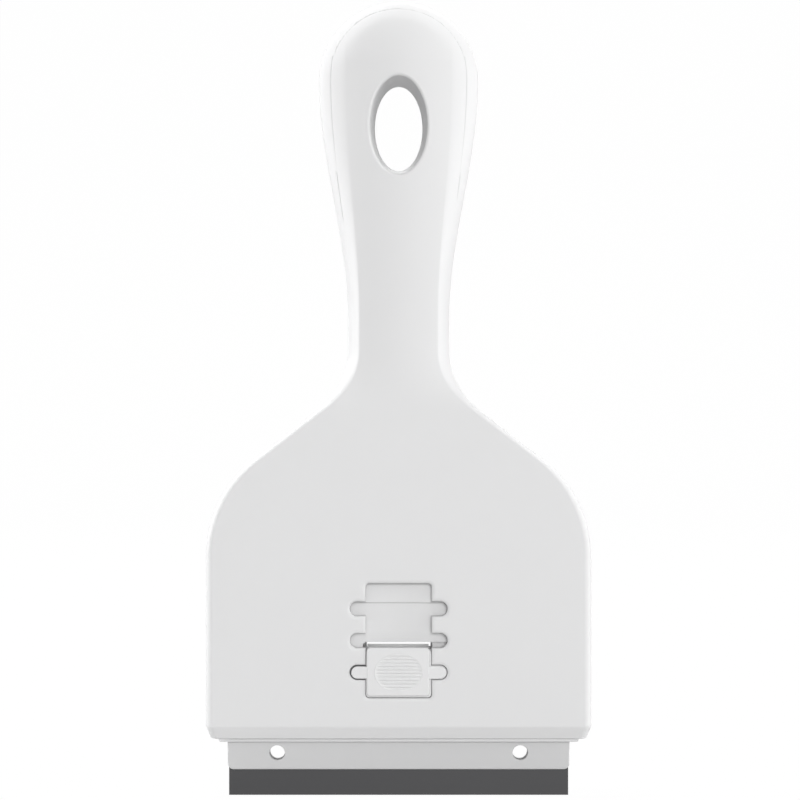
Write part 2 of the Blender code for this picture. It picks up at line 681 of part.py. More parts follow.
def latch_window():
    """The opening of the panel that the pad and the ears are pressed into."""
    pad_x = FLANGE_X + WINDOW_CLEARANCE
    ear_x = EAR_REACH + WINDOW_CLEARANCE
    strip_x = TONGUE_HALF_WIDTH + WINDOW_CLEARANCE
    ear_low = FIRST_NOTCH_Z - EAR_RADIUS - 2 * WINDOW_CLEARANCE
    ear_high = FIRST_NOTCH_Z + EAR_RADIUS + WINDOW_CLEARANCE
    top = PAD_TOP_Z + GAP_ABOVE_PAD
    pad_low = PAD_BOTTOM_Z - 2 * WINDOW_CLEARANCE
    root = TONGUE_ROOT_Z - TONGUE_THICKNESS / 2 - FIT_GAP
    outline = [
        (-strip_x, root), (strip_x, root), (strip_x, pad_low), (pad_x, pad_low), (pad_x, ear_low),
        (ear_x, ear_low), (ear_x, top), (-pad_x, top), (-pad_x, ear_high), (-ear_x, ear_high),
        (-ear_x, ear_low), (-pad_x, ear_low), (-pad_x, pad_low), (-strip_x, pad_low),
    ]
    return prism("latch_window", outline, PANEL_FRONT_Y - REACH, PANEL_BACK_Y + FIT_GAP)


def tongue_pocket():
    """Room in the jaw block for the foot of the tongue as it bends."""
    x = TONGUE_HALF_WIDTH + WINDOW_CLEARANCE
    root = TONGUE_ROOT_Z - TONGUE_THICKNESS / 2 - FIT_GAP
    top = BODY_BOTTOM_Z + JAW_BLOCK_HEIGHT + FIT_GAP
    deep = TONGUE_BACK_Y + FIT_GAP + (top - TONGUE_ROOT_Z) * tan(LATCH_TRAVEL)
    outline = ((PANEL_FRONT_Y, root), (TONGUE_BACK_Y + FIT_GAP, root), (deep, top), (PANEL_FRONT_Y, top))
    return loft("tongue_pocket", [[(side * x, y, z) for y, z in outline] for side in (-1, 1)])


def build_clamp(mat):
    obj = prism("blade_clamp", jaw_outline(BLADE_REACH + CLAMP_HEIGHT), CLAMP_FRONT_Y, CLAMP_BACK_Y)
    for side in (-1, 1):
        x, z = peg_place(side)
        end = CLAMP_FRONT_Y + CLAMP_THICKNESS / 2
        join(obj, cylinder_y(f"clamp_peg_{side}", x, z, PEG_RADIUS, CLAMP_FRONT_Y - PEG_LENGTH, end))
        carve(obj, eye_cutter(f"clamp_eye_{side}", side))
    finish(obj, mat)
    return obj


def build_blade(mat):
    """A flat strip, ground on its back to a thin straight edge."""
    x = BLADE_WIDTH / 2
    profile = (
        (BLADE_FRONT_Y, 0.0),
        (BLADE_FRONT_Y + BLADE_LAND, 0.0),
        (BLADE_BACK_Y, BLADE_BEVEL_HEIGHT),
        (BLADE_BACK_Y, BLADE_HEIGHT),
        (BLADE_FRONT_Y, BLADE_HEIGHT),
    )
    obj = loft("blade", [[(side * x, y, z) for y, z in profile] for side in (-1, 1)])
    for side in (-1, 1):
        px, pz = peg_place(side)
        carve(obj, eye_cutter(f"blade_eye_{side}", side))
        carve(obj, cylinder_y(f"blade_bore_{side}", px, pz, PEG_RADIUS + FIT_GAP, -REACH, REACH))
    finish(obj, mat)
    return obj


# Latch

def build_tongue(mat):
    """The strip that bends, its cross bar and the two ears that stand forward into the notches."""
    w = TONGUE_HALF_WIDTH
    r = TONGUE_THICKNESS / 2
    top = PAD_TOP_Z - PAD_WALL - FIT_GAP
    foot = [(HINGE_Y - r * cos(t), TONGUE_ROOT_Z - r * sin(t)) for t in (pi * i / 8 for i in range(9))]
    profile = foot + [(TONGUE_BACK_Y, top), (TONGUE_FRONT_Y, top)]
    obj = loft("latch_tongue", [[(side * w, y, z) for y, z in profile] for side in (-1, 1)])
    join(obj, prism("ears", ear_bar(), PAD_FRONT_Y + EAR_RECESS, TONGUE_BACK_Y))
    low, high = FIRST_NOTCH_Z - 2 * EAR_RADIUS, FIRST_NOTCH_Z + 2 * EAR_RADIUS
    left, right = PAD_LEFT_X - LUG_GAP, PAD_RIGHT_X + LUG_GAP
    flange_y = PAD_BACK_Y - FLANGE_THICKNESS - LUG_GAP
    carve(
        obj,
        box("pad_room", left, right, PAD_FRONT_Y - REACH, TONGUE_FRONT_Y, low, high),
        box("flange_room", 0.0, FLANGE_X + LUG_GAP, flange_y, TONGUE_FRONT_Y, low, high),
    )
    finish(obj, mat)
    return obj


def ear_bar():
    """A bar across the latch with round ends, which are the ears."""
    centre = EAR_REACH - EAR_RADIUS
    right = arc(centre, FIRST_NOTCH_Z, EAR_RADIUS, -90, 90, 8)
    return right + arc(-centre, FIRST_NOTCH_Z, EAR_RADIUS, 90, 270, 8)


def build_pad(mat):
    """The button: a rounded slab with a ridged grip, a flange beside it and a top wall behind it."""
    rings = []
    for y, inset in ((PAD_FRONT_Y, PAD_EDGE), (PAD_FRONT_Y + PAD_EDGE, 0.0), (PAD_BACK_Y, 0.0)):
        ring = rounded_rectangle(
            PAD_LEFT_X + inset, PAD_RIGHT_X - inset, PAD_BOTTOM_Z + inset, PAD_TOP_Z - inset, PAD_CORNER
        )
        rings.append([(x, y, z) for x, z in ring])
    obj = loft("thumb_pad", rings)
    inner_x = TONGUE_HALF_WIDTH + FIT_GAP
    wall_low = FIRST_NOTCH_Z + EAR_RADIUS + FIT_GAP
    back = PAD_FRONT_Y + PAD_DEPTH
    lip = PAD_BACK_Y - PAD_EDGE
    inset = 0.05 * MM
    left, right = PAD_LEFT_X + inset, PAD_RIGHT_X - inset
    flange_top = PAD_TOP_Z - FLANGE_DROP
    flange_front = PAD_BACK_Y - FLANGE_THICKNESS
    join(
        obj,
        box("pad_top", left, right, lip, back, PAD_TOP_Z - PAD_WALL, PAD_TOP_Z - inset),
        box("pad_left", left, -inner_x, lip, back, wall_low, PAD_TOP_Z - PAD_WALL / 2),
        box("pad_right", inner_x, FLANGE_X - inset, lip, back, wall_low, flange_top - inset),
    )
    low = PAD_BOTTOM_Z + PAD_EDGE
    flange_back = PAD_BACK_Y - 2 * inset
    join(obj, box("pad_flange", inner_x - inset, FLANGE_X, flange_front, flange_back, low, flange_top))
    for i in range(GRIP_RIDGES):
        join(obj, grip_ridge(i))
    finish(obj, mat)
    return obj


def grip_ridge(i):
    """One cross ridge, as long as the grip's ellipse allows at its height."""
    offset = mix(-1.0, 1.0, (i + 0.5) / GRIP_RIDGES)
    z = FIRST_NOTCH_Z + offset * GRIP_HALF_HEIGHT
    length = GRIP_HALF_WIDTH * sqrt(1.0 - offset ** 2)
    half = GRIP_RIDGE_WIDTH / 2
    rings = []
    for y, slope in ((PAD_FRONT_Y - GRIP_RIDGE_HEIGHT, 0.5), (PAD_FRONT_Y + PAD_EDGE, 1.6)):
        h, x = half * slope, length + half * slope
        rings.append([(-x, y, z - h), (x, y, z - h), (x, y, z + h), (-x, y, z + h)])
    return loft(f"ridge_{i}", rings)


def main():
    for obj in list(bpy.data.objects):
        bpy.data.objects.remove(obj, do_unlink=True)
    white = material("white_plastic", (0.80, 0.80, 0.80), 0.45)
    carrier_white = material("carrier_plastic", (0.78, 0.78, 0.78), 0.5)
    dark = material("dark_blade", (0.09, 0.09, 0.095), 0.4)
    build_front_shell(white)
    build_rear_shell(white)
    build_carrier(carrier_white)
    build_clamp(carrier_white)
    build_blade(dark)
    build_tongue(carrier_white)
    build_pad(carrier_white)


main()
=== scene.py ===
import math

import bmesh
import bpy
import numpy as np
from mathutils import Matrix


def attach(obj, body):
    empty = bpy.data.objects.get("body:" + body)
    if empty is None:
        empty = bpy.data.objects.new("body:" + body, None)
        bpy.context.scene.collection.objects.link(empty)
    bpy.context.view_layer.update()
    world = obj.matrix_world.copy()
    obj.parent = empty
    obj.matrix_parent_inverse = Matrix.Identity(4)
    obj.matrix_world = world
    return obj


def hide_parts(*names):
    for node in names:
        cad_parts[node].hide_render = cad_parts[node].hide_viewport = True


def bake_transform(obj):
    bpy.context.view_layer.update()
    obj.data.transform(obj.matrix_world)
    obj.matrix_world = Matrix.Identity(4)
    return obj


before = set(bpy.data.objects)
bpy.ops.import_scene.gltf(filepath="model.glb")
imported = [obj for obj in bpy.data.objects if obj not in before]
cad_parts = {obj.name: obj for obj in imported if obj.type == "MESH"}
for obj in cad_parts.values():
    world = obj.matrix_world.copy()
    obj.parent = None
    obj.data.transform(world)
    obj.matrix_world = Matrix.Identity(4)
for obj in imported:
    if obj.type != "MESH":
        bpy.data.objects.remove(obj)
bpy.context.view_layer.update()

# Housing: two white moulded plastic shells, a shallow front and a deep back, closed along a
# fine seam. They are one hollow form: a flat head, a neck that flares into it, and a crowned
# handle that ends in a dome round an oval hang hole.

MM = 0.001
WELD = 1e-6              # vertices nearer than this become one
SLIVER = 1e-7            # and shorter edges than this are dissolved
TINY = 1e-6              # least value that anything is divided by
HALF_THICKNESS = 8.8 * MM
WALL = 2.2 * MM
SEAM_Y = -4.0 * MM
SEAM_GAP = 0.016 * MM

FOOT_Z = 17.45 * MM
FOOT_BEVEL_TOP = 21.2 * MM
FOOT_BEVEL_INSET = 1.3 * MM
FOOT_EDGE = 0.35 * MM
BEVEL_EASE = 1.2         # half length of the curve at the bevel's top, in widths of the foot's edge
HEAD_HALF_WIDTH = 56.49 * MM
HEAD_EDGE = 2.3 * MM
HEAD_CORNER = 35.2 * MM
SHOULDER_ANGLE = math.radians(52.3)
NECK_FLARE = 22.4 * MM
NECK_FLARE_Z = 131.4 * MM
NECK_HALF_WIDTH = 15.0 * MM
TAPER_START_Z = 141.0 * MM
BULB_Z = 211.2 * MM
BULB_RADIUS = 23.6 * MM
TOP_Z = BULB_Z + BULB_RADIUS
DOME_Z = 216.1 * MM
CROWN_RADIUS = 50.0 * MM
NECK_EDGE = 3.65 * MM    # width of the rounded edge, where the handle is narrow and wide
BULB_EDGE = 8.15 * MM
QUARTER_ARC = 0.5523     # Bezier handle that follows a quarter circle
TIGHT_ARC = 0.3          # and one that turns sooner, for the handle's edges
INNER_HEAD_EDGE = 0.3 * MM    # least width of the head's rounded edge inside
INNER_EDGE_SHARE = 0.7   # share of the inset that the handle's rounded edge loses
DOME_STEPS = (60, 400)   # fine steps over the face and the edge of the section swung over the dome

CORNER_CENTRE_X = HEAD_HALF_WIDTH - HEAD_CORNER
FLARE_CENTRE_X = NECK_HALF_WIDTH + NECK_FLARE
SHOULDER_RUN = (
    HEAD_HALF_WIDTH - NECK_HALF_WIDTH - (NECK_FLARE + HEAD_CORNER) * (1 - math.cos(SHOULDER_ANGLE))
)
SHOULDER_DROP = SHOULDER_RUN / math.tan(SHOULDER_ANGLE)
FLARE_END_Z = NECK_FLARE_Z - NECK_FLARE * math.sin(SHOULDER_ANGLE)
CORNER_TOP_Z = FLARE_END_Z - SHOULDER_DROP
CORNER_Z = CORNER_TOP_Z - HEAD_CORNER * math.sin(SHOULDER_ANGLE)


def ease(t):
    """0 to 1 with level ends: 3 t squared minus 2 t cubed."""
    t = np.clip(t, 0.0, 1.0)
    return t * t * (3.0 - 2.0 * t)


def mix(a, b, t):
    """From a to b as t goes from 0 to 1."""
    return a + (b - a) * t


def outline_half_width(z, inset):
    """Half width at height z: a circle on the bulb, an eased taper down to the neck, a hollow
    circular flare, a straight shoulder, the head's round corner and its upright side."""
    radius, flare, corner = BULB_RADIUS - inset, NECK_FLARE + inset, HEAD_CORNER - inset
    bulb = np.sqrt(np.maximum(radius ** 2 - (z - BULB_Z) ** 2, 0.0))
    rise = ease((z - TAPER_START_Z) / (BULB_Z - TAPER_START_Z))
    taper = mix(NECK_HALF_WIDTH, BULB_RADIUS, rise) - inset
    hollow = FLARE_CENTRE_X - np.sqrt(np.maximum(flare ** 2 - (NECK_FLARE_Z - z) ** 2, 0.0))
    flare_end = NECK_FLARE_Z - flare * math.sin(SHOULDER_ANGLE)
    corner_top = CORNER_Z + corner * math.sin(SHOULDER_ANGLE)
    flare_end_x = FLARE_CENTRE_X - flare * math.cos(SHOULDER_ANGLE)
    straight = flare_end_x + (flare_end - z) * math.tan(SHOULDER_ANGLE)
    rounded = CORNER_CENTRE_X + np.sqrt(np.maximum(corner ** 2 - (z - CORNER_Z) ** 2, 0.0))
    places = [z >= BULB_Z, z >= NECK_FLARE_Z, z >= flare_end, z >= corner_top, z >= CORNER_Z]
    return np.select(places, [bulb, taper, hollow, straight, rounded], HEAD_HALF_WIDTH - inset)


def quarter_section(z, inset, squeeze, crown_steps, edge_steps):
    """A quarter of the section at each height, as arrays x and y (heights, points): a crowned face
    y = b - crown x^2 / 2, then a cubic Bezier that leaves it on its slope and meets the side square."""
    a = outline_half_width(z, inset) - squeeze
    b = HALF_THICKNESS - inset - squeeze
    grip = ease((z - FLARE_END_Z) / (NECK_FLARE_Z - FLARE_END_Z))
    wide = (a + inset - NECK_HALF_WIDTH) / (BULB_RADIUS - NECK_HALF_WIDTH)
    head_edge = max(HEAD_EDGE - inset, INNER_HEAD_EDGE)
    edge_x = mix(head_edge, mix(NECK_EDGE, BULB_EDGE, wide) - INNER_EDGE_SHARE * inset, grip)
    side_y = mix(b - head_edge, 0.0, grip)
    pull = mix(QUARTER_ARC, TIGHT_ARC, grip)
    crown = grip / CROWN_RADIUS
    corner_x = a - edge_x
    corner_y = b - crown * corner_x ** 2 / 2
    face_x = corner_x[:, None] * np.linspace(0, 1, crown_steps, endpoint=False)
    face_y = b[:, None] - crown[:, None] * face_x ** 2 / 2
    t = np.linspace(0, 1, edge_steps + 1)
    weights = np.stack([(1 - t) ** 3, 3 * t * (1 - t) ** 2, 3 * t ** 2 * (1 - t), t ** 3])
    knots_x = np.stack([corner_x, corner_x + pull * edge_x, a, a])
    knots_y = np.stack([
        corner_y,
        corner_y - pull * edge_x * crown * corner_x,
        side_y + pull * (corner_y - side_y),
        side_y,
    ])
    return np.hstack([face_x, knots_x.T @ weights]), np.hstack([face_y, knots_y.T @ weights])


def housing_rings(z, inset=0.0, squeeze=0.0, crown_steps=10, edge_steps=14):
    """Rings of points round the housing, one for each height in z, as an array (rings, points, 3).

    Up to the dome a ring is its own section. Over the dome the last section is swung round the
    dome's middle: at a share r of the way out to the outline, the depth is that section's at r."""
    z = np.asarray(z, float)
    level = np.minimum(z, DOME_Z)
    x, y = quarter_section(level, inset, squeeze + 0 * z, crown_steps, edge_steps)
    last_x, last_y = quarter_section(np.array([DOME_Z]), inset, np.zeros(1), *DOME_STEPS)
    lift = np.clip((z - DOME_Z) / (TOP_Z - inset - DOME_Z), 0.0, 1.0)[:, None]
    share = lift + (1 - lift) * x / x[:, -1:]
    reach = outline_half_width(DOME_Z + (z - level)[:, None] / np.maximum(share, TINY), inset)
    y = np.where(lift > 0, np.interp(share, last_x[0] / last_x[0, -1], last_y[0]), y)
    x = np.where(lift > 0, share * reach, x)
    quarter = np.stack([x, y], axis=-1)
    upper = np.concatenate([quarter[:, ::-1], quarter[:, 1:] * (-1, 1)], axis=1)
    ring = np.concatenate([upper, upper[:, ::-1] * (1, -1)], axis=1)
    heights = np.broadcast_to(z[:, None, None], ring.shape[:2] + (1,))
    return np.concatenate([ring, heights], axis=2)


def loft(name, rings):
    """A closed mesh through an array of rings (rings, points, 3), its two ends capped flat."""
    rings = np.asarray(rings, float)
    count, points = rings.shape[:2]
    low = np.arange(points)
    high = np.roll(low, -1)
    start = (np.arange(count - 1) * points)[:, None]
    quads = np.stack([start + low, start + high, start + points + high, start + points + low], axis=-1)
    faces = quads.reshape(-1, 4).tolist()
    faces += [low[::-1].tolist(), (low + (count - 1) * points).tolist()]
    mesh = bpy.data.meshes.new(name)
    mesh.from_pydata(rings.reshape(-1, 3), [], faces)
    bm = bmesh.new()
    bm.from_mesh(mesh)
    bmesh.ops.remove_doubles(bm, verts=bm.verts, dist=WELD)
    bmesh.ops.dissolve_degenerate(bm, dist=SLIVER, edges=bm.edges)
    bmesh.ops.recalc_face_normals(bm, faces=bm.faces)
    bm.to_mesh(mesh)
    bm.free()
    piece = bpy.data.objects.new(name, mesh)
    bpy.context.scene.collection.objects.link(piece)
    return piece


def machined(piece, joined=(), cut=(), sharp=40):
    """The piece with other closed meshes joined to it and then cut from it, and smooth normals
    that follow its large faces."""
    tools = [(tool, "UNION") for tool in joined] + [(tool, "DIFFERENCE") for tool in cut]
    for tool, operation in tools:
        modifier = piece.modifiers.new(tool.name, "BOOLEAN")
        modifier.operation = operation
        modifier.solver = "EXACT"
        modifier.object = tool
    graph = bpy.context.evaluated_depsgraph_get()
    mesh = bpy.data.meshes.new_from_object(piece.evaluated_get(graph))
    piece.modifiers.clear()
    for tool, _ in tools:
        bpy.data.objects.remove(tool)
    bm = bmesh.new()
    bm.from_mesh(mesh)
    bmesh.ops.remove_doubles(bm, verts=bm.verts, dist=WELD)
    bm.to_mesh(mesh)
    bm.free()
    piece.data = mesh
    mesh.shade_smooth()
    mesh.set_sharp_from_angle(angle=math.radians(sharp))
    weighted = piece.modifiers.new("face weight", "WEIGHTED_NORMAL")
    weighted.keep_sharp = True
    weighted.weight = 100
    return piece


def block(name, x0, x1, y0, y1, z0, z1):
    """A box between two places along each axis."""
    ring = [(x0, y0), (x1, y0), (x1, y1), (x0, y1)]
    return loft(name, [[(x, y, z) for x, y in ring] for z in (z0, z1)])


def outer_heights():
    """Heights of the outer rings, close where the outline bends."""
    corner = CORNER_Z + HEAD_CORNER * np.sin(np.linspace(0, SHOULDER_ANGLE, 22))
    flare = NECK_FLARE_Z - NECK_FLARE * np.sin(np.linspace(SHOULDER_ANGLE, 0, 18))
    taper = np.linspace(NECK_FLARE_Z, BULB_Z, 34)[1:]
    bulb = np.linspace(BULB_Z, DOME_Z, 4)[1:]
    dome = DOME_Z + (TOP_Z - DOME_Z) * np.sin(np.linspace(0, math.pi / 2, 40))[1:]
    return np.concatenate([corner, flare, taper, bulb, dome])


def outer_form(name):
    """The housing's outside: the bevelled foot, its edges eased by small arcs, and all above it."""
    turn = np.linspace(0, 1, 5)
    slope = math.atan2(FOOT_BEVEL_INSET, FOOT_BEVEL_TOP - FOOT_Z)
    low = (math.pi / 2 - slope) * turn + slope
    foot_z = FOOT_Z + FOOT_EDGE * (1 - np.sin(low[::-1]))
    foot_in = FOOT_BEVEL_INSET + FOOT_EDGE * (1 - np.cos(low[::-1])) - (foot_z - FOOT_Z) * math.tan(slope)
    ease_z = FOOT_BEVEL_TOP + mix(-BEVEL_EASE, BEVEL_EASE, turn) * FOOT_EDGE
    ease_in = (1 - turn) ** 2 * BEVEL_EASE * FOOT_EDGE * math.tan(slope)
    heights = np.concatenate([foot_z, ease_z, outer_heights()])
    squeeze = np.concatenate([foot_in, ease_in, np.zeros(len(outer_heights()))])
    return loft(name, housing_rings(heights, squeeze=squeeze))


def cavity(name):
    """The hollow: the same form drawn in by the wall, from the floor up."""
    heights = np.concatenate([
        [FOOT_Z + WALL],
        CORNER_Z + HEAD_CORNER * np.sin(np.linspace(0, SHOULDER_ANGLE, 10)),
        NECK_FLARE_Z - NECK_FLARE * np.sin(np.linspace(SHOULDER_ANGLE, 0, 9)),
        np.linspace(NECK_FLARE_Z, DOME_Z, 13)[1:],
        DOME_Z + (TOP_Z - WALL - DOME_Z) * np.sin(np.linspace(0, math.pi / 2, 12))[1:],
    ])
    return loft(name, housing_rings(heights, WALL, crown_steps=4, edge_steps=5))


# Hang hole: an oval right through the handle, drawn in to a waist at half thickness by the
# mould's draft, with a rounded rim that follows the crowned faces.

HANG_HOLE_Z = 197.2 * MM
HANG_HOLE_FACE = (8.34 * MM, 14.28 * MM)
HANG_HOLE_WAIST = (7.05 * MM, 12.49 * MM)
HANG_HOLE_RIM = 0.95 * MM
HANG_HOLE_WALL = 2.2 * MM
CUT_ROOM = 2 * MM        # how far a cutter runs past the wall that it cuts
SLEEVE_SINK = 0.8 * WALL    # how far the wall round the hole ends below the face


def ellipse(half_width, half_height, z, count=128):
    """Points (x, z) of an ellipse round the middle line, none of them on it."""
    t = (np.arange(count) + 0.5) * 2 * math.pi / count
    return half_width * np.cos(t), z + half_height * np.sin(t)


def hang_hole(name):
    """Rings from in front of the handle to behind it. The rim's ring at angle t stands
    rim (1 - sin t) outside the hole and rim (1 - cos t) below the crowned face."""
    front = [(CUT_ROOM, HANG_HOLE_RIM)]
    front += [(-HANG_HOLE_RIM * (1 - math.cos(t)), HANG_HOLE_RIM * (1 - math.sin(t)))
              for t in np.linspace(0, math.pi / 2, 7)]
    rings = []
    for proud, grow in front:
        x, z = ellipse(HANG_HOLE_FACE[0] + grow, HANG_HOLE_FACE[1] + grow, HANG_HOLE_Z)
        face = HALF_THICKNESS - x ** 2 / (2 * CROWN_RADIUS)
        rings.append(np.stack([x, -face - proud, z], axis=-1))
    x, z = ellipse(*HANG_HOLE_WAIST, HANG_HOLE_Z)
    waist = np.stack([x, 0 * x, z], axis=-1)
    return loft(name, rings + [waist] + [ring * (1, -1, 1) for ring in rings[::-1]])


def hang_hole_sleeve(name):
    """The wall that closes the hollow round the hole, from inside one face to inside the other."""
    half_width, half_height = (size + HANG_HOLE_WALL for size in HANG_HOLE_WAIST)
    x, z = ellipse(half_width, half_height, HANG_HOLE_Z, 64)
    end = HALF_THICKNESS - SLEEVE_SINK
    return loft(name, [np.stack([x, np.full_like(x, y), z], axis=-1) for y in (-end, end)])


# Latch slot: cut through the front shell's flat head, with three pairs of round-ended notches
# that the button's ears drop into, its outer edge rolled over by the mould.

SLOT_HALF_WIDTH = 9.67 * MM
SLOT_BOTTOM = 29.6 * MM
SLOT_TOP = 63.15 * MM
SLOT_CORNER = 1.1 * MM
SLOT_EDGE = 1.3 * MM
SLOT_EDGE_DEPTH = 0.5 * MM
NOTCH_Z = (37.1 * MM, 46.4 * MM, 55.7 * MM)
NOTCH_RADIUS = 2.19 * MM
NOTCH_REACH = 14.28 * MM


def arc(x, z, radius, start, end, steps):
    """Points (x, z) on an arc, its angles in degrees from +X towards +Z."""
    t = np.radians(np.linspace(start, end, steps + 1))
    return np.stack([x + radius * np.cos(t), z + radius * np.sin(t)], axis=-1)


def slot_outline(grow):
    """The slot's outline grown all round by grow: the right side upwards, then its mirror down."""
    w = SLOT_HALF_WIDTH + grow
    corner = SLOT_CORNER + grow
    notch = NOTCH_RADIUS + grow
    low, high = SLOT_BOTTOM - grow, SLOT_TOP + grow
    parts = [arc(w - corner, low + corner, corner, -90, 0, 6)]
    for z in NOTCH_Z:
        parts.append([(w, z - notch)])
        parts.append(arc(NOTCH_REACH - NOTCH_RADIUS, z, notch, -90, 90, 16))
        parts.append([(w, z + notch)])
    parts.append(arc(w - corner, high - corner, corner, 0, 90, 6))
    right = np.concatenate(parts)
    return np.concatenate([right, right[::-1] * (-1, 1)])


def slot_cut(name):
    """Rings of the slot from in front of the face to behind the wall, the first few on the
    quarter of a shallow ellipse that rolls the edge over."""
    stations = [(-CUT_ROOM, SLOT_EDGE)]
    stations += [(SLOT_EDGE_DEPTH * (1 - math.cos(t)), SLOT_EDGE * (1 - math.sin(t)))
                 for t in np.linspace(0, math.pi / 2, 7)]
    stations.append((WALL + CUT_ROOM, 0.0))
    rings = []
    for depth, grow in stations:
        outline = slot_outline(grow)
        rings.append(np.insert(outline, 1, depth - HALF_THICKNESS, axis=1))
    return loft(name, rings)


# Mouth: a slot across the foot that the blade carrier slides through, in a low collar that
# stands below the foot and is shared by the two shells.

MOUTH_HALF_WIDTH = 50.8 * MM
MOUTH_FRONT_Y = -5.3 * MM
MOUTH_BACK_Y = -0.5 * MM
COLLAR_Z = 16.4 * MM
COLLAR_WALL = 1.3 * MM
COLLAR_SIDE = 2.4 * MM
COLLAR_EDGE = 0.25 * MM
COLLAR_SLOPE = 0.3       # of its ends, across per height


def collar(name):
    """The collar's block, its lower edge eased and its ends sloped."""
    root = FOOT_Z + WALL / 2
    rings = []
    for z, inset in ((COLLAR_Z, COLLAR_EDGE), (COLLAR_Z + COLLAR_EDGE, 0.0), (root, 0.0)):
        x = MOUTH_HALF_WIDTH + COLLAR_SIDE - inset - (root - z) * COLLAR_SLOPE
        front, back = MOUTH_FRONT_Y - COLLAR_WALL + inset, MOUTH_BACK_Y + COLLAR_WALL - inset
        rings.append([(x, front, z), (x, back, z), (-x, back, z), (-x, front, z)])
    return loft(name, rings)


def mouth_cut(name):
    """The way out through the floor and the collar."""
    return block(name, -MOUTH_HALF_WIDTH, MOUTH_HALF_WIDTH, MOUTH_FRONT_Y, MOUTH_BACK_Y,
                 COLLAR_Z - CUT_ROOM, FOOT_Z + 2 * WALL)


def hollow_housing(name):
    """The whole housing with its collar and its cavity, before it is parted and opened."""
    return machined(
        outer_form(name),
        joined=[collar(name + "_collar")],
        cut=[cavity(name + "_cavity")],
    )


# Plastic: satin white, with the faint even grain of a spark-eroded mould and a very slight
# mottle in its tone. Shade is painted into its colour: it is greyer where other walls shut it in.

PLASTIC_ROUGHNESS = 0.58
PLASTIC_SPECULAR = 0.3
MOTTLE_SCALE = 45.0
MOTTLE_TONE = 0.008      # how far the mottle takes the tone up and down
MOTTLE_GLOSS = 0.06
PIT_SCALE = 2600.0
PIT_STRENGTH = 0.12
PIT_DEPTH = 0.04 * MM
PIT_GLOSS = 0.08
# Painted shade: the tone is darkened near other walls, as found by an ambient occlusion node.
PAINTED_SHADE_REACH = 5.0 * MM    # how near another wall greys a surface
PAINTED_SHADE_SKY_SHARE = 0.4      # share of open sky below which it is greyed in full
PAINTED_SHADE_TONE = 0.85      # its tone there, as a share of its own


class Value:
    """A node's output that takes part in arithmetic and adds its own Math nodes."""

    def __init__(self, tree, socket):
        self.tree = tree
        self.socket = socket

    def math(self, operation, *values):
        """The result of a Math node on the values, in their order."""
        return self.tree.node("ShaderNodeMath", {"operation": operation}, values)

    def __add__(self, other):
        return self.math("ADD", self, other)

    __radd__ = __add__

    def __sub__(self, other):
        return self.math("SUBTRACT", self, other)

    def __rsub__(self, other):
        return self.math("SUBTRACT", other, self)

    def __mul__(self, other):
        return self.math("MULTIPLY", self, other)

    __rmul__ = __mul__


class Shader:
    """A material or world node tree, written as calls."""

    def __init__(self, owner):
        owner.use_nodes = True
        self.nodes = owner.node_tree.nodes
        self.links = owner.node_tree.links

    def set(self, socket, value):
        """Links a node's output to the socket, or writes a plain value into it."""
        if isinstance(value, Value):
            self.links.new(value.socket, socket)
        else:
            socket.default_value = value

    def node(self, kind, settings=None, inputs=None, output=0):
        """Adds a node of that kind: its settings first, then the values or links of its sockets."""
        made = self.nodes.new(kind)
        for key, value in (settings or {}).items():
            setattr(made, key, value)
        pairs = inputs.items() if isinstance(inputs, dict) else enumerate(inputs or [])
        for key, value in pairs:
            self.set(made.inputs[key], value)
        return Value(self, made.outputs[output])

    def noise(self, place, scale, detail):
        """Soft noise from 0 to 1, its scale in cycles per metre."""
        return self.node("ShaderNodeTexNoise", inputs={"Vector": place, "Scale": scale, "Detail": detail})

    def mixed(self, share, first, second):
        """A colour that goes from the first to the second as share goes from 0 to 1."""
        inputs = {"Factor": share, 6: first, 7: second}
        return self.node("ShaderNodeMix", {"data_type": "RGBA"}, inputs, output=2)

    def clouded(self, share, colour, spread):
        """The colour, a little deeper where share is 0 and a little paler where it is 1."""
        deep, pale = ([c * level for c in colour] + [1.0] for level in (1 - spread, 1 + spread))
        return self.mixed(share, deep, pale)


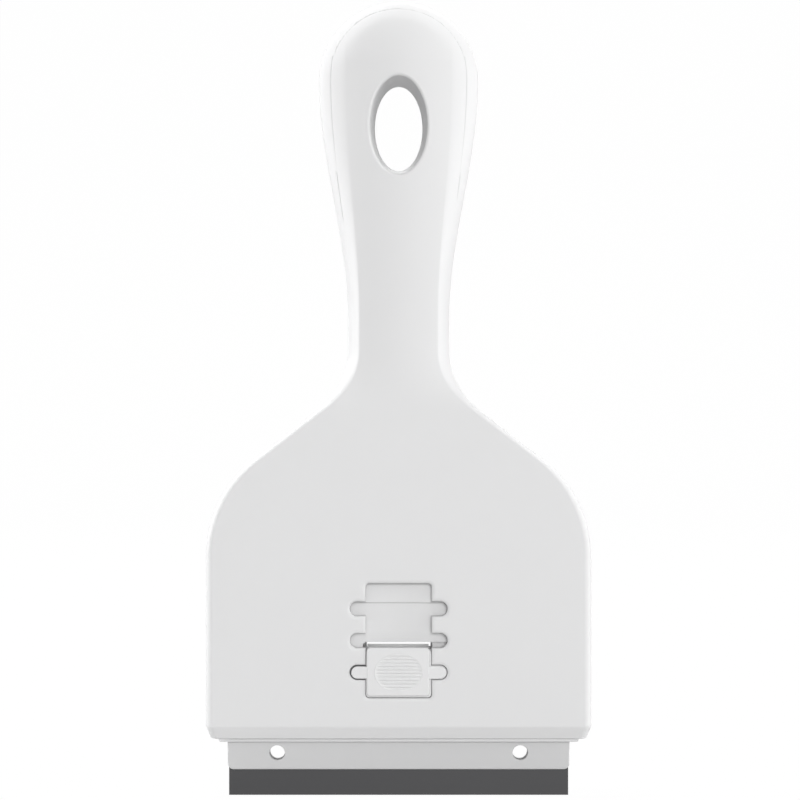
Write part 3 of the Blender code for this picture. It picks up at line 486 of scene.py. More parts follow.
def moulded_plastic(name, colour, foot=None, painted_shade_level=PAINTED_SHADE_TONE):
    """Satin plastic: a soft mottle of tone, a grain of fine pits in the bump and in the gloss, and
    painted shade, a greyer tone where the surface is shut in. foot is a second colour below, mixed
    in between two heights, with which the carrier paints shade on its jaw."""
    material = bpy.data.materials.new(name)
    shader = Shader(material)
    principled = shader.nodes["Principled BSDF"]
    place = shader.node("ShaderNodeTexCoord", output="Object")
    mottle = shader.noise(place, MOTTLE_SCALE, 3.0)
    pits = shader.noise(place, PIT_SCALE, 2.0)
    tone = shader.clouded(mottle, colour, MOTTLE_TONE)
    if foot:
        low_colour, *heights = foot
        height = shader.node("ShaderNodeSeparateXYZ", inputs=[place], output="Z")
        smooth = {"interpolation_type": "SMOOTHSTEP"}
        share = shader.node("ShaderNodeMapRange", smooth, [height, *heights])
        tone = shader.mixed(share, [*low_colour, 1.0], tone)
    # Painted shade: ambient occlusion greys the colour in corners, gaps and recesses.
    sky = shader.node("ShaderNodeAmbientOcclusion", {"samples": 8}, {"Distance": PAINTED_SHADE_REACH}, "AO")
    open_share = shader.node("ShaderNodeMapRange", inputs=[sky, PAINTED_SHADE_SKY_SHARE])
    scaled = {0: tone, "Scale": painted_shade_level}
    painted_shade_colour = shader.node("ShaderNodeVectorMath", {"operation": "SCALE"}, scaled)
    gloss = PLASTIC_ROUGHNESS + (pits - 0.5) * PIT_GLOSS + (mottle - 0.5) * MOTTLE_GLOSS
    grain = {"Strength": PIT_STRENGTH, "Distance": PIT_DEPTH, "Height": pits}
    shader.set(principled.inputs["Base Color"], shader.mixed(open_share, painted_shade_colour, tone))
    shader.set(principled.inputs["Specular IOR Level"], PLASTIC_SPECULAR)
    shader.set(principled.inputs["Roughness"], gloss)
    shader.set(principled.inputs["Normal"], shader.node("ShaderNodeBump", inputs=grain))
    return material


# Front shell: the shallow half, moulded in one piece of white plastic, with the latch slot in
# its flat head. It closes on the rear shell all round, and the two share the seam's fine gap.

SHELL_COLOUR = (0.80, 0.80, 0.803)
FAR = 0.3                # reach of a cutting block on the sides where nothing limits it
shell_plastic = moulded_plastic("shell plastic", SHELL_COLOUR)

front_shell = hollow_housing("front_half")
machined(
    front_shell,
    joined=[hang_hole_sleeve("front_sleeve")],
    cut=[
        block("behind_seam", -FAR, FAR, SEAM_Y - SEAM_GAP / 2, FAR, -FAR, FAR),
        slot_cut("slot"),
        hang_hole("front_hole"),
        mouth_cut("front_mouth"),
    ],
)
front_shell.data.materials.append(shell_plastic)
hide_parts("front_shell")
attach(front_shell, "housing")

# Rear shell: the deep half. It holds two guide rails with ledges for the carrier's sides, a stop
# above them, and a round-cornered window behind the latch to rinse it.

WINDOW_HALF_WIDTH = 9.6 * MM
WINDOW_CORNER = 2.0 * MM
WINDOW_EDGE = 0.6 * MM
RAIL_X = 50.65 * MM
RAIL_THICKNESS = 1.5 * MM
RAIL_LEDGE = 3.0 * MM
RAIL_LEDGE_Y = -0.2 * MM
RAIL_TOP = 84.32 * MM
STOP_HALF_WIDTH = 18.0 * MM
STOP_Z = (84.62 * MM, 86.42 * MM)
INNER_WALL_Y = (SEAM_Y + 0.2 * MM, HALF_THICKNESS - WALL / 2)    # of the rails and the stop


def rounded_box_ring(x0, x1, z0, z1, radius, steps=8):
    """A rectangle in the XZ plane with round corners, as points (x, z)."""
    corners = [
        arc(x1 - radius, z0 + radius, radius, -90, 0, steps),
        arc(x1 - radius, z1 - radius, radius, 0, 90, steps),
        arc(x0 + radius, z1 - radius, radius, 90, 180, steps),
        arc(x0 + radius, z0 + radius, radius, 180, 270, steps),
    ]
    return np.concatenate(corners)


def window_cut(name):
    """Rings of the window from inside the wall outwards, rolled over at the outer face."""
    stations = [(WALL + CUT_ROOM, 0.0)]
    stations += [(WINDOW_EDGE * (1 - math.cos(t)), WINDOW_EDGE * (1 - math.sin(t)))
                 for t in np.linspace(math.pi / 2, 0, 6)]
    stations.append((-CUT_ROOM, WINDOW_EDGE))
    rings = []
    for depth, grow in stations:
        x = WINDOW_HALF_WIDTH + grow
        ring = rounded_box_ring(-x, x, SLOT_BOTTOM - grow, SLOT_TOP + grow, WINDOW_CORNER + grow)
        rings.append(np.insert(ring, 1, HALF_THICKNESS - depth, axis=1))
    return loft(name, rings)


def guide_rail(name, side):
    """An L in cross section, carried straight up from the floor."""
    front, root = INNER_WALL_Y
    ledge = RAIL_LEDGE_Y + RAIL_THICKNESS
    section = np.array([
        (RAIL_X, front),
        (RAIL_X + RAIL_THICKNESS, front),
        (RAIL_X + RAIL_THICKNESS, root),
        (RAIL_X, root),
        (RAIL_X, ledge),
        (RAIL_X - RAIL_LEDGE, ledge),
        (RAIL_X - RAIL_LEDGE, RAIL_LEDGE_Y),
        (RAIL_X, RAIL_LEDGE_Y),
    ]) * (side, 1)
    return loft(name, [np.insert(section, 2, z, axis=1) for z in (FOOT_Z + WALL / 2, RAIL_TOP)])


rear_shell = hollow_housing("rear_half")
machined(
    rear_shell,
    joined=[
        hang_hole_sleeve("rear_sleeve"),
        guide_rail("left_rail", -1),
        guide_rail("right_rail", 1),
        block("stop", -STOP_HALF_WIDTH, STOP_HALF_WIDTH, *INNER_WALL_Y, *STOP_Z),
    ],
    cut=[
        block("before_seam", -FAR, FAR, -FAR, SEAM_Y + SEAM_GAP / 2, -FAR, FAR),
        window_cut("window"),
        hang_hole("rear_hole"),
        mouth_cut("rear_mouth"),
    ],
)
rear_shell.data.materials.append(shell_plastic)
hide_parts("rear_shell")
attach(rear_shell, "housing")

# Blade carrier: one white moulding inside the head. Its ribbed panel slides between the rails,
# its front jaw stands out below the mouth and slopes down to the blade, with two round eyes.

JAW_HALF_WIDTH = 50.35 * MM
JAW_TIP_Z = 7.7 * MM
JAW_BACK_Y = -2.85 * MM
JAW_THICKNESS = 2.15 * MM
JAW_TIP_THICKNESS = 0.75 * MM
JAW_CORNER = 1.7 * MM
JAW_EDGE = 0.3 * MM
EYE_X = 35.8 * MM
EYE_Z = 12.8 * MM
EYE_RADIUS = 2.25 * MM
EYE_EDGE = 0.2 * MM
BORE_REACH = 20 * MM     # of an eye's or a bore's cutter, to both sides
PANEL_Y = (-6.3 * MM, -4.5 * MM)
PANEL_STEP = 0.25 * MM
PANEL_STEP_Z = 57.3 * MM
PANEL_GROOVE = 0.25 * MM
PANEL_RELIEF = 1.3 * MM
PANEL_TOP_Z = 65.72 * MM
BODY_BOTTOM_Z = 19.95 * MM
BLOCK_TOP_Z = 28.95 * MM
CARRIER_BACK_Y = -0.5 * MM
RIB = 1.8 * MM
RIB_ROOT_Y = PANEL_Y[1] - 0.9 * MM
FRAME_X = 16.12 * MM
CLEARANCE = 0.3 * MM     # between the ribs and the jaw block, and behind the latch's opening
HAIR = 0.01 * MM         # keeps the faces of two cutters out of one plane
TONGUE_ROOM_X = 8.05 * MM    # half widths of the latch's opening, each from its height upwards
TONGUE_ROOM_Z = 21.7 * MM
BUTTON_ROOM_X = 9.8 * MM
BUTTON_ROOM_Z = 29.4 * MM
EAR_ROOM_X = 14.32 * MM
EAR_ROOM_Z = (34.4 * MM, 39.35 * MM)
GAP_X = (-10.5 * MM, 9.9 * MM)    # the gap above the button, its top, and its two cut-off corners
GAP_TOP_Z = 45.65 * MM
GAP_LEFT_CORNER = (0.8 * MM, 0.65 * MM)
GAP_RIGHT_CORNER = (0.3 * MM, 0.35 * MM)
POCKET_BACK_Y = -3.2 * MM
CARRIER_COLOUR = (0.775, 0.775, 0.778)
# Painted shade: below the foot the jaw is coloured darker, blended in between two heights, for the shade
# that the foot casts on it.
JAW_SHADE_COLOUR = (0.685, 0.685, 0.688)
JAW_SHADE_Z = (15.5 * MM, 18.5 * MM)
carrier_plastic = moulded_plastic("carrier plastic", CARRIER_COLOUR, (JAW_SHADE_COLOUR, *JAW_SHADE_Z))


def jaw_front_y(z):
    """Level behind the collar, then a straight slope to the tip."""
    slope = np.clip((z - JAW_TIP_Z) / (COLLAR_Z - JAW_TIP_Z), 0, 1)
    return JAW_BACK_Y - mix(JAW_TIP_THICKNESS, JAW_THICKNESS, slope)


def front_jaw(name):
    """Level sections from the tip up. A height h above the tip draws the sides in by the corner's
    quarter circle and sets the front back by the edge's, and the front's two ends are rounded."""
    rise = 1 - np.cos(np.linspace(0, math.pi / 2, 16))
    heights = np.concatenate([JAW_TIP_Z + JAW_CORNER * rise, [COLLAR_Z, BODY_BOTTOM_Z + RIB]])
    turn = np.linspace(0, math.pi / 2, 6)
    rings = []
    for z in heights:
        corner = min(max(JAW_CORNER - z + JAW_TIP_Z, 0.0), JAW_CORNER)
        edge = min(max(JAW_EDGE - z + JAW_TIP_Z, 0.0), JAW_EDGE)
        x = JAW_HALF_WIDTH - JAW_CORNER + math.sqrt(JAW_CORNER ** 2 - corner ** 2)
        front = jaw_front_y(z) + JAW_EDGE - math.sqrt(JAW_EDGE ** 2 - edge ** 2)
        edge_x = x - JAW_EDGE * (1 - np.sin(turn))
        edge_y = front + JAW_EDGE * (1 - np.cos(turn))
        right = np.stack([np.append(edge_x, x), np.append(edge_y, JAW_BACK_Y)], axis=-1)
        rings.append(np.insert(np.concatenate([right, right[::-1] * (-1, 1)]), 2, z, axis=1))
    return loft(name, rings)


def eye_cut(name, side, sloped=False):
    """A round bore along Y. On the sloping front its edge is rolled over by a quarter circle."""
    x, z = ellipse(EYE_RADIUS, EYE_RADIUS, 0.0, 48)
    turn = np.linspace(0, math.pi / 2, 5) if sloped else []
    stations = [(-BORE_REACH, EYE_EDGE if sloped else 0.0)]
    stations += [(EYE_EDGE * (1 - math.cos(t)), EYE_EDGE * (1 - math.sin(t))) for t in turn]
    stations.append((BORE_REACH, 0.0))
    rings = []
    for depth, grow in stations:
        scale = 1 + grow / EYE_RADIUS
        front = jaw_front_y(EYE_Z + z * scale) if sloped else 0.0 * z
        rings.append(np.stack([x * scale + side * EYE_X, front + depth, EYE_Z + z * scale], axis=-1))
    return loft(name, rings)


def latch_window(name):
    """The opening that the button and its ears are pressed into, in steps that are alike on both
    sides up to the ears, and the gap above the button."""
    low, high = EAR_ROOM_Z
    steps = np.array([
        (TONGUE_ROOM_X, TONGUE_ROOM_Z),
        (TONGUE_ROOM_X, BUTTON_ROOM_Z),
        (BUTTON_ROOM_X, BUTTON_ROOM_Z),
        (BUTTON_ROOM_X, low),
        (EAR_ROOM_X, low),
        (EAR_ROOM_X, high),
    ])
    gap = [
        (GAP_X[1], high),
        (GAP_X[1], GAP_TOP_Z - GAP_RIGHT_CORNER[1]),
        (GAP_X[1] - GAP_RIGHT_CORNER[0], GAP_TOP_Z),
        (GAP_X[0] + GAP_LEFT_CORNER[0], GAP_TOP_Z),
        (GAP_X[0], GAP_TOP_Z - GAP_LEFT_CORNER[1]),
        (GAP_X[0], high),
    ]
    outline = np.concatenate([steps, gap, steps[::-1] * (-1, 1)])
    return loft(name, [np.insert(outline, 1, y, axis=1) for y in (-FAR, PANEL_Y[1] + CLEARANCE)])


def tongue_pocket(name):
    """Room for the tongue's foot in the jaw block, sloped as the tongue bends."""
    top = BLOCK_TOP_Z + CLEARANCE
    section = np.array([
        (PANEL_Y[0], TONGUE_ROOM_Z),
        (PANEL_Y[1], TONGUE_ROOM_Z),
        (POCKET_BACK_Y, top),
        (PANEL_Y[0], top),
    ])
    return loft(name, [np.insert(section, 0, x, axis=1) for x in (-TONGUE_ROOM_X, TONGUE_ROOM_X)])


def rib(name, x0, x1, z0, z1):
    """A wall on the panel's back, rooted in the panel."""
    return block(name, x0, x1, RIB_ROOT_Y, CARRIER_BACK_Y, z0, z1)


jaw_x = (-JAW_HALF_WIDTH, JAW_HALF_WIDTH)
rib_z = (BLOCK_TOP_Z + CLEARANCE, PANEL_TOP_Z - RIB / 2)
carrier = block("carrier_moulding", *jaw_x, *PANEL_Y, BODY_BOTTOM_Z, PANEL_TOP_Z)
machined(
    carrier,
    joined=[
        front_jaw("front_jaw"),
        block("jaw_block", *jaw_x, RIB_ROOT_Y, JAW_BACK_Y, BODY_BOTTOM_Z, BLOCK_TOP_Z),
        rib("top_rib", *jaw_x, PANEL_TOP_Z - RIB, PANEL_TOP_Z),
        rib("left_rib", -JAW_HALF_WIDTH, RIB - JAW_HALF_WIDTH, *rib_z),
        rib("right_rib", JAW_HALF_WIDTH - RIB, JAW_HALF_WIDTH, *rib_z),
        rib("left_frame", -FRAME_X, RIB - FRAME_X, *rib_z),
        rib("right_frame", FRAME_X - RIB, FRAME_X, *rib_z),
    ],
    cut=[
        block("panel_step", -FAR, FAR, -FAR, PANEL_Y[0] + PANEL_STEP,
              BODY_BOTTOM_Z - CUT_ROOM, PANEL_STEP_Z),
        block("panel_groove", -FAR, FAR, -FAR, PANEL_Y[0] + PANEL_STEP + PANEL_GROOVE,
              PANEL_STEP_Z - PANEL_GROOVE, PANEL_STEP_Z - HAIR),
        block("panel_relief", BUTTON_ROOM_X, EAR_ROOM_X, -FAR, PANEL_Y[0] + PANEL_RELIEF,
              EAR_ROOM_Z[1], GAP_TOP_Z),
        latch_window("latch_window"),
        tongue_pocket("tongue_pocket"),
        eye_cut("left_eye", -1, sloped=True),
        eye_cut("right_eye", 1, sloped=True),
    ],
    sharp=50,
)
carrier.data.materials.append(carrier_plastic)
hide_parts("blade_carrier")
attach(carrier, "carrier")

# Blade clamp: a thin white plate behind the blade. Two short pegs run through the blade into
# the carrier, and its eyes line up with the carrier's.

CLAMP_Y = (-1.95 * MM, -0.8 * MM)
CLAMP_TOP_Z = 28.7 * MM
CLAMP_EDGE = 0.25 * MM
PEG_RADIUS = 1.5 * MM
PEG_X = 18.0 * MM
PEG_Z = 20.8 * MM
PEG_LENGTH = 2.2 * MM
PEG_BITE = 0.5 * MM      # depth of the pegs' roots in the clamp
PEG_ROOM = 0.3 * MM      # round the pegs in the blade's bores


def clamp_plate(name):
    """A round-cornered plate, its back edges eased by a small arc."""
    rings = []
    stations = [(CLAMP_Y[0], 0.0)]
    stations += [(CLAMP_Y[1] - CLAMP_EDGE * (1 - math.cos(t)), CLAMP_EDGE * (1 - math.sin(t)))
                 for t in np.linspace(math.pi / 2, 0, 5)]
    for y, inset in stations:
        ring = rounded_box_ring(inset - JAW_HALF_WIDTH, JAW_HALF_WIDTH - inset,
                                JAW_TIP_Z + inset, CLAMP_TOP_Z - inset, JAW_CORNER - inset)
        rings.append(np.insert(ring, 1, y, axis=1))
    return loft(name, rings)


def peg_bars(name, radius, y0, y1):
    """A pair of round bars along Y where the clamp's pegs are."""
    x, z = ellipse(radius, radius, PEG_Z, 32)
    bars = []
    for side in (-1, 1):
        rings = [np.stack([x + side * PEG_X, np.full_like(x, y), z], axis=-1) for y in (y0, y1)]
        bars.append(loft(f"{name}_{side}", rings))
    return bars


clamp = machined(
    clamp_plate("clamp_plate"),
    joined=peg_bars("peg", PEG_RADIUS, CLAMP_Y[0] - PEG_LENGTH, CLAMP_Y[0] + PEG_BITE),
    cut=[eye_cut("left_clamp_eye", -1), eye_cut("right_clamp_eye", 1)],
)
clamp.data.materials.append(carrier_plastic)
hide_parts("blade_clamp")
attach(clamp, "carrier")

# Blade: a strip of dark tempered steel, 0.6 mm thick, ground on its back to a straight edge.
# It is punched with two eyes, and with two bores for the clamp's pegs.

BLADE_HALF_WIDTH = 50.1 * MM
BLADE_Y = (-2.7 * MM, -2.1 * MM)
BLADE_TOP_Z = 23.0 * MM
BLADE_GROUND_Z = 2.7 * MM
BLADE_LAND = 0.15 * MM
BLADE_COLOUR = (0.038, 0.038, 0.04)
STEEL_METALLIC = 0.35
STEEL_ROUGHNESS = 0.42
STEEL_CLOUD_SCALE = 60.0
STEEL_CLOUD_TONE = 0.06
GRIND_SCALE = (60.0, 60.0, 6000.0)    # drawn out into lines across the blade
GRIND_GLOSS = 0.2
GRIND_STRENGTH = 0.15
GRIND_DEPTH = 0.02 * MM


def blade_strip(name):
    """The blade's profile in (y, z), carried along X."""
    profile = np.array([
        (BLADE_Y[0], 0.0),
        (BLADE_Y[0] + BLADE_LAND, 0.0),
        (BLADE_Y[1], BLADE_GROUND_Z),
        (BLADE_Y[1], BLADE_TOP_Z),
        (BLADE_Y[0], BLADE_TOP_Z),
    ])
    ends = (-BLADE_HALF_WIDTH, BLADE_HALF_WIDTH)
    return loft(name, [np.insert(profile, 0, x, axis=1) for x in ends])


def ground_steel(name):
    """Dark steel with fine grinding lines along the edge's direction across the blade."""
    material = bpy.data.materials.new(name)
    shader = Shader(material)
    principled = shader.nodes["Principled BSDF"]
    place = shader.node("ShaderNodeTexCoord", output="Object")
    stretched = shader.node("ShaderNodeMapping", inputs={"Vector": place, "Scale": GRIND_SCALE})
    lines = shader.noise(stretched, 1.0, 3.0)
    cloud = shader.noise(place, STEEL_CLOUD_SCALE, 3.0)
    grooves = {"Strength": GRIND_STRENGTH, "Distance": GRIND_DEPTH, "Height": lines}
    shader.set(principled.inputs["Base Color"], shader.clouded(cloud, BLADE_COLOUR, STEEL_CLOUD_TONE))
    shader.set(principled.inputs["Metallic"], STEEL_METALLIC)
    shader.set(principled.inputs["Roughness"], STEEL_ROUGHNESS + (lines - 0.5) * GRIND_GLOSS)
    shader.set(principled.inputs["Normal"], shader.node("ShaderNodeBump", inputs=grooves))
    return material


blade = machined(
    blade_strip("steel_blade"),
    cut=[
        eye_cut("left_blade_eye", -1),
        eye_cut("right_blade_eye", 1),
        *peg_bars("bore", PEG_RADIUS + PEG_ROOM, -BORE_REACH, BORE_REACH),
    ],
    sharp=5,
)
blade.data.materials.append(ground_steel("ground steel"))
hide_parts("blade")
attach(blade, "carrier")

# Latch tongue: the flat spring that carries the button. It is rooted in the carrier's jaw
# block, bends inwards when the button is pressed, and has a cross bar behind the button's ears.

LATCH_COLOUR = (0.82, 0.82, 0.823)
# Painted shade on the latch, deeper than on the shells.
LATCH_PAINTED_SHADE_TONE = 0.7
TONGUE_Y = (-6.0 * MM, -4.8 * MM)
TONGUE_HALF_WIDTH = 7.6 * MM
TONGUE_ROOT_Z = 22.6 * MM
TONGUE_TOP_Z = 42.75 * MM
TONGUE_TIP = 0.02 * MM   # half thickness left at the very end of the foot
TONGUE_BULGE = 0.3       # of its sides, in half thicknesses
EAR_Z = NOTCH_Z[0]
EAR_RADIUS = 1.8 * MM
EAR_REACH = 13.87 * MM


def tongue_strip(name):
    """Cross sections up the tongue, each a flat bar with bulged sides, close enough for it to bend
    smoothly. The foot is rounded like the end of a rod."""
    half = (TONGUE_Y[1] - TONGUE_Y[0]) / 2
    middle = (TONGUE_Y[0] + TONGUE_Y[1]) / 2
    foot = np.linspace(-math.pi / 2, 0, 7)
    length = np.linspace(TONGUE_ROOT_Z, TONGUE_TOP_Z, 40)[1:]
    heights = np.concatenate([TONGUE_ROOT_Z + half * np.sin(foot), length])
    thick = np.concatenate([np.maximum(half * np.cos(foot), TONGUE_TIP), np.full(len(length), half)])
    edge = np.linspace(0, math.pi, 7)
    side_x, side_y = TONGUE_HALF_WIDTH + np.sin(edge) * TONGUE_BULGE * half, -np.cos(edge)
    x = np.concatenate([side_x, -side_x[::-1]])
    y = np.concatenate([side_y, side_y[::-1]])
    rings = np.stack([
        np.broadcast_to(x, (len(heights), len(x))),
        middle + thick[:, None] * y,
        np.broadcast_to(heights[:, None], (len(heights), len(x))),
    ], axis=-1)
    return loft(name, rings)


def ear_outline(reach, radius):
    """A bar with round ends across the latch, as points (x, z)."""
    right = arc(reach - radius, EAR_Z, radius, -90, 90, 14)
    left = arc(radius - reach, EAR_Z, radius, 90, 270, 14)
    return np.concatenate([right, left])


def cross_bar(name):
    """The bar that backs the ears, as thick as the tongue."""
    return loft(name, [np.insert(ear_outline(EAR_REACH, EAR_RADIUS), 1, y, axis=1) for y in TONGUE_Y])


latch_plastic = moulded_plastic("latch plastic", LATCH_COLOUR, painted_shade_level=LATCH_PAINTED_SHADE_TONE)
tongue = machined(tongue_strip("spring_tongue"), joined=[cross_bar("cross_bar")])
tongue.data.materials.append(latch_plastic)
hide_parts("latch_tongue")
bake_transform(tongue)

# Thumb button: a small white block with two round-ended ears in one piece, an oval patch of
# cross ridges for the thumb, a deep top wall that is pushed when the blade is moved, and a
# flange behind its front that closes the gaps round its sides and foot.

BUTTON_FRONT_Y = -9.1 * MM
BUTTON_BACK_Y = -6.3 * MM
BUTTON_X = (-9.3 * MM, 8.9 * MM)
BUTTON_Z = (30.3 * MM, 44.35 * MM)
BUTTON_CORNER = 0.9 * MM
BUTTON_EDGE = 0.25 * MM
BUTTON_DEPTH = 8.7 * MM
BUTTON_WALL = 1.3 * MM
BUTTON_SIDE_X = 7.9 * MM     # where its side walls begin, outwards and upwards
BUTTON_SIDE_Z = 39.2 * MM
BUTTON_SIDE_DROP = 0.5 * MM  # of the left wall's top below the top wall's
BUTTON_ROOT = 0.4 * MM       # depth of the walls' roots in the block
BUTTON_INSET = 0.05 * MM     # keeps a joined wall's faces inside the block's and the flange's
EAR_RECESS = 0.1 * MM        # of the ears, behind the block's front
FLANGE_X = (-9.55 * MM, 9.5 * MM)
FLANGE_Y = (-8.45 * MM, -6.4 * MM)
FLANGE_Z = (29.8 * MM, 43.7 * MM)
FLANGE_CORNER = 1.0 * MM
EAR_FLANGE = 0.2 * MM        # how far its flange stands out round the ear
EAR_FLANGE_ROOT = 1.5 * MM
GRIP_HALF_WIDTH = 7.15 * MM
GRIP_HALF_HEIGHT = 5.6 * MM
GRIP_RIDGES = 11
GRIP_DEPTH = 0.2 * MM
GRIP_PROUD = 0.02 * MM       # of the ridges' tops before the block's front
GRIP_BACK = 0.5 * MM         # depth of the patch's back in the block
RIDGE_FADE = 6               # powers that end the ridges at the oval's sides and sharpen them
RIDGE_SHARPNESS = 1.5
DISH_ROOM = 1 * MM           # how far the dish's cutter stands out before the block
DISH_SHARES = (1.0, 0.975, 0.95, 0.92, 0.89, 0.86)    # of the oval, at the dish's rings
DISH_SLOPE = 4


def eased_plate(name, outline, front_y, back_y):
    """An outline function of its inset, carried from front to back with a rolled front edge."""
    rings = []
    for t in np.linspace(0, math.pi / 2, 6):
        ring = outline(BUTTON_EDGE * (1 - math.sin(t)))
        rings.append(np.insert(ring, 1, front_y + BUTTON_EDGE * (1 - math.cos(t)), axis=1))
    rings.append(np.insert(outline(0.0), 1, back_y, axis=1))
    return loft(name, rings)


def button_outline(inset):
    """The block's front, as points (x, z)."""
    return rounded_box_ring(BUTTON_X[0] + inset, BUTTON_X[1] - inset,
                            BUTTON_Z[0] + inset, BUTTON_Z[1] - inset, BUTTON_CORNER - inset, 6)


def flange_plate(name):
    """A round-cornered plate behind the button's front that closes the gaps at its sides and foot."""
    ring = rounded_box_ring(*FLANGE_X, *FLANGE_Z, FLANGE_CORNER, 6)
    return loft(name, [np.insert(ring, 1, y, axis=1) for y in FLANGE_Y])


def ear_flange(name):
    """A plate behind the right ear, a little larger, from inside the flange to its round end."""
    radius = EAR_RADIUS + EAR_FLANGE
    root_x = FLANGE_X[1] - EAR_FLANGE_ROOT
    end = arc(EAR_REACH - EAR_RADIUS, EAR_Z, radius, -90, 90, 14)
    ring = np.concatenate([end, [(root_x, EAR_Z + radius), (root_x, EAR_Z - radius)]])
    return loft(name, [np.insert(ring, 1, y, axis=1) for y in (FLANGE_Y[0], FLANGE_Y[1] - BUTTON_INSET)])


def grip_depth(r):
    """Depth of the oval dish at a share r of the way out: flat, then up with 1 - r squared."""
    return GRIP_DEPTH * np.clip(DISH_SLOPE * (1 - r ** 2), 0.0, 1.0)


def grip_dish(name):
    """Ovals from in front of the block down to the dish's floor."""
    rings = []
    for r, depth in [(1.0, -DISH_ROOM)] + [(r, grip_depth(r)) for r in DISH_SHARES]:
        x, z = ellipse(GRIP_HALF_WIDTH * r, GRIP_HALF_HEIGHT * r, EAR_Z, 96)
        rings.append(np.stack([x, np.full_like(x, BUTTON_FRONT_Y + depth), z], axis=-1))
    return loft(name, rings)


def grip_patch(name):
    """A patch on a grid that lines the oval dish: ridges as a raised cosine up the oval, as high
    as the dish is deep, eased to its floor towards the sides, and closed behind by a flat back."""
    across, up = np.meshgrid(np.linspace(-1, 1, 81), np.linspace(-1, 1, 145))
    half = np.sqrt(np.maximum(1 - up ** 2, 0.0))
    depth = grip_depth(np.hypot(across * half, up))
    x = across * half * GRIP_HALF_WIDTH
    z = EAR_Z + up * GRIP_HALF_HEIGHT
    fade = 1 - np.abs(across) ** RIDGE_FADE
    wave = 0.5 + 0.5 * np.cos((up * GRIP_RIDGES / 2 + (GRIP_RIDGES - 1) / 2) * 2 * math.pi)
    y = BUTTON_FRONT_Y + depth * (1 - fade * wave ** RIDGE_SHARPNESS) - GRIP_PROUD
    back_y = np.full_like(y, BUTTON_FRONT_Y + GRIP_BACK)
    front = np.stack([x, y, z], axis=-1)
    back = np.stack([x, back_y, z], axis=-1)
    return loft(name, np.concatenate([front, back[:, ::-1]], axis=1))


wall_left, wall_right = BUTTON_X[0] + BUTTON_INSET, BUTTON_X[1] - BUTTON_INSET
wall_top = BUTTON_Z[1] - BUTTON_INSET
wall_y = (BUTTON_BACK_Y - BUTTON_ROOT, BUTTON_FRONT_Y + BUTTON_DEPTH)
button = eased_plate("thumb_button", button_outline, BUTTON_FRONT_Y, BUTTON_BACK_Y)
machined(
    button,
    joined=[
        eased_plate("ears", lambda inset: ear_outline(EAR_REACH - inset, EAR_RADIUS - inset),
                    BUTTON_FRONT_Y + EAR_RECESS, BUTTON_BACK_Y - EAR_RECESS),
        block("top_wall", wall_left, wall_right, *wall_y, wall_top - BUTTON_WALL, wall_top),
        block("left_wall", wall_left, -BUTTON_SIDE_X, *wall_y,
              BUTTON_SIDE_Z, wall_top - BUTTON_SIDE_DROP),
        block("right_wall", BUTTON_SIDE_X, FLANGE_X[1] - BUTTON_INSET, *wall_y,
              BUTTON_SIDE_Z, FLANGE_Z[1] - BUTTON_INSET),
        flange_plate("flange"),
        ear_flange("ear_flange"),
    ],
    cut=[grip_dish("grip_dish")],
)
machined(button, joined=[grip_patch("grip")], sharp=45)
button.data.materials.append(latch_plastic)
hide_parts("thumb_pad")
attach(button, "latch")

# Studio: a pale floor that runs up into a backdrop, a broad front light beyond the camera with a
# weak one above it, and softboxes at the left, right, top and back that light only the edges.
# The camera is level with the neck's flare, half a metre from the face.

FLOOR_FRONT_Y = -2.5
FLOOR_BEND_Y = 1.2
FLOOR_BEND = 0.6
FLOOR_TOP_Z = 3.0
FLOOR_HALF_WIDTH = 3.0
FLOOR_COLOUR = (0.35, 0.35, 0.35, 1.0)
FLOOR_SEEN_COLOUR = (0.9, 0.9, 0.9, 1.0)
FLOOR_SEEN_WHITE = 0.98
LIGHT_TARGET = np.array([0.0, 0.0, 0.12])
AMBIENT_LEVEL = 0.06
FRONT_LEVEL = 0.695
HIGH_LEVEL = 0.04
LEFT_LEVEL = 0.76
RIGHT_LEVEL = 0.74
TOP_LEVEL = 0.48
BACK_LEVEL = 0.36
CAMERA_DISTANCE = 0.500
CAMERA_HEIGHT = 0.1167
CAMERA_X = 0.0004
PIXEL = 0.000292         # of the photo, at the head's face
FRAME_PIXELS = 800
SENSOR = 36.0


def studio_floor(name):
    """A strip in (y, z): flat, a quarter circle, then upright, carried along X."""
    turn = np.linspace(0, math.pi / 2, 24)
    bend_y = FLOOR_BEND_Y + FLOOR_BEND * np.sin(turn)
    bend_z = FLOOR_BEND - FLOOR_BEND * np.cos(turn)
    y = np.concatenate([[FLOOR_FRONT_Y], bend_y, bend_y[-1:]])
    z = np.concatenate([[0.0], bend_z, [FLOOR_TOP_Z]])
    across = np.array([-FLOOR_HALF_WIDTH, FLOOR_HALF_WIDTH])
    grid = np.stack(np.broadcast_arrays(across[None, :], y[:, None], z[:, None]), axis=-1)
    faces = np.arange(len(y) - 1)[:, None] * 2 + np.array([0, 1, 3, 2])
    mesh = bpy.data.meshes.new(name)
    mesh.from_pydata(grid.reshape(-1, 3), [], faces.tolist())
    mesh.shade_smooth()
    piece = bpy.data.objects.new(name, mesh)
    bpy.context.scene.collection.objects.link(piece)
    return piece


def seen_rays(shader):
    """1 for the rays of the camera, mirrors and glass, 0 for the rays that carry light."""
    path = shader.node("ShaderNodeLightPath").socket.node.outputs
    seen = Value(shader, path["Is Camera Ray"])
    for name in ("Is Glossy Ray", "Is Transmission Ray"):
        seen = seen.math("MAXIMUM", seen, Value(shader, path[name]))
    return seen


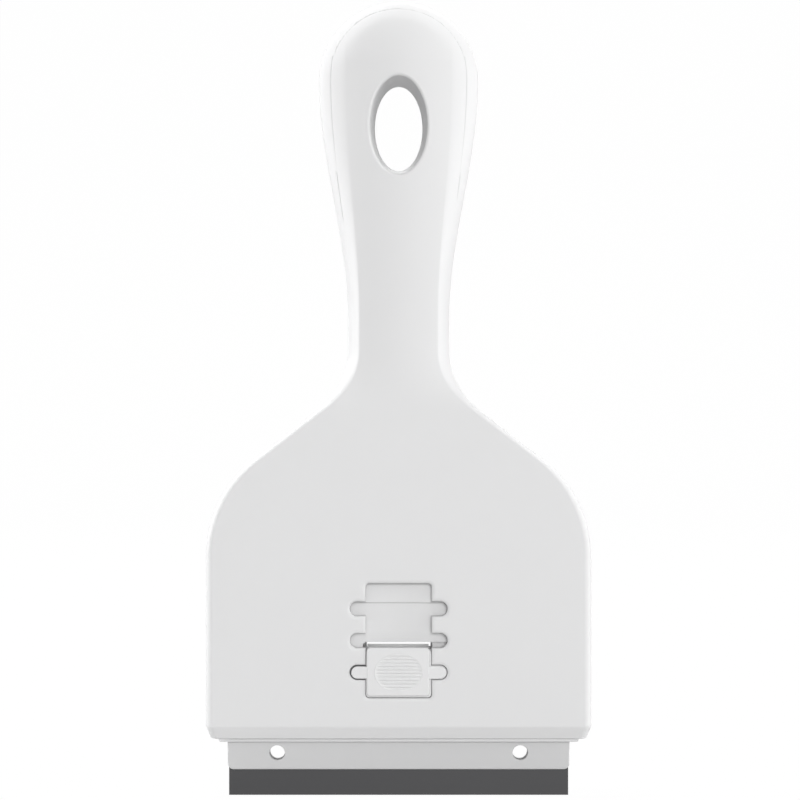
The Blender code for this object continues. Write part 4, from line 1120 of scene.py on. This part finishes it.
def studio_white(name):
    """Matt grey for the light it sends up, but seen as plain white with the object's shadow."""
    material = bpy.data.materials.new(name)
    shader = Shader(material)
    matt = shader.node("ShaderNodeBsdfDiffuse", inputs={"Color": FLOOR_COLOUR})
    seen_matt = shader.node("ShaderNodeBsdfDiffuse", inputs={"Color": FLOOR_SEEN_COLOUR})
    white = shader.node("ShaderNodeEmission", inputs={"Color": (1, 1, 1, 1), "Strength": 1.0})
    seen = shader.node("ShaderNodeMixShader", inputs=[FLOOR_SEEN_WHITE, seen_matt, white])
    surface = shader.node("ShaderNodeMixShader", inputs=[seen_rays(shader), matt, seen])
    shader.links.new(surface.socket, shader.nodes["Material Output"].inputs["Surface"])
    return material


floor = studio_floor("floor")
floor.data.materials.append(studio_white("studio white"))


def softbox(name, towards, distance, size, level):
    """A square area light in that direction from the object, aimed at it. A white face turned
    to it takes on the brightness level."""
    data = bpy.data.lights.new(name, "AREA")
    data.size = size
    data.energy = level * math.pi ** 2 * distance ** 2
    lamp = bpy.data.objects.new(name, data)
    bpy.context.scene.collection.objects.link(lamp)
    aim = -np.array(towards) / np.linalg.norm(towards)
    lamp.location = LIGHT_TARGET - aim * distance
    lamp.rotation_euler = (
        math.atan2(math.hypot(aim[0], aim[1]), -aim[2]),
        0.0,
        math.atan2(aim[1], aim[0]) - math.pi / 2,
    )
    lamp.visible_camera = False


def turned(angle, up):
    """A direction turned from the front (-Y) by degrees towards +X, then raised."""
    angle = math.radians(angle)
    return (math.sin(angle), -math.cos(angle), up)


softbox("front", turned(6, 0.24), distance=4.5, size=2.2, level=FRONT_LEVEL)
softbox("high", turned(6, 1.0), distance=2.4, size=1.6, level=HIGH_LEVEL)
softbox("left", turned(-100, 0.15), distance=1.4, size=0.5, level=LEFT_LEVEL)
softbox("right", turned(89, 0.15), distance=1.4, size=0.9, level=RIGHT_LEVEL)
softbox("top", (-0.2, 0.14, 1.0), distance=1.4, size=0.5, level=TOP_LEVEL)
softbox("back", turned(180, 1.0), distance=1.5, size=0.8, level=BACK_LEVEL)


def studio_world(level):
    """An even soft surround, seen as white."""
    world = bpy.data.worlds.new("surround")
    bpy.context.scene.world = world
    shader = Shader(world)
    surround = shader.node("ShaderNodeBackground", inputs={"Color": (1, 1, 1, 1), "Strength": level})
    white = shader.node("ShaderNodeBackground", inputs={"Color": (1, 1, 1, 1), "Strength": 1.0})
    blend = shader.node("ShaderNodeMixShader", inputs=[seen_rays(shader), surround, white])
    shader.links.new(blend.socket, shader.nodes["World Output"].inputs["Surface"])


studio_world(AMBIENT_LEVEL)

view = bpy.data.cameras.new("view")
view.sensor_width = SENSOR
view.lens = SENSOR * CAMERA_DISTANCE / (PIXEL * FRAME_PIXELS)
view.clip_start = 0.01
camera = bpy.data.objects.new("view", view)
bpy.context.scene.collection.objects.link(camera)
camera.location = (CAMERA_X, -CAMERA_DISTANCE - HALF_THICKNESS, CAMERA_HEIGHT)
camera.rotation_euler = (math.pi / 2, 0.0, 0.0)
bpy.context.scene.camera = camera
bpy.context.scene.view_settings.view_transform = "Standard"
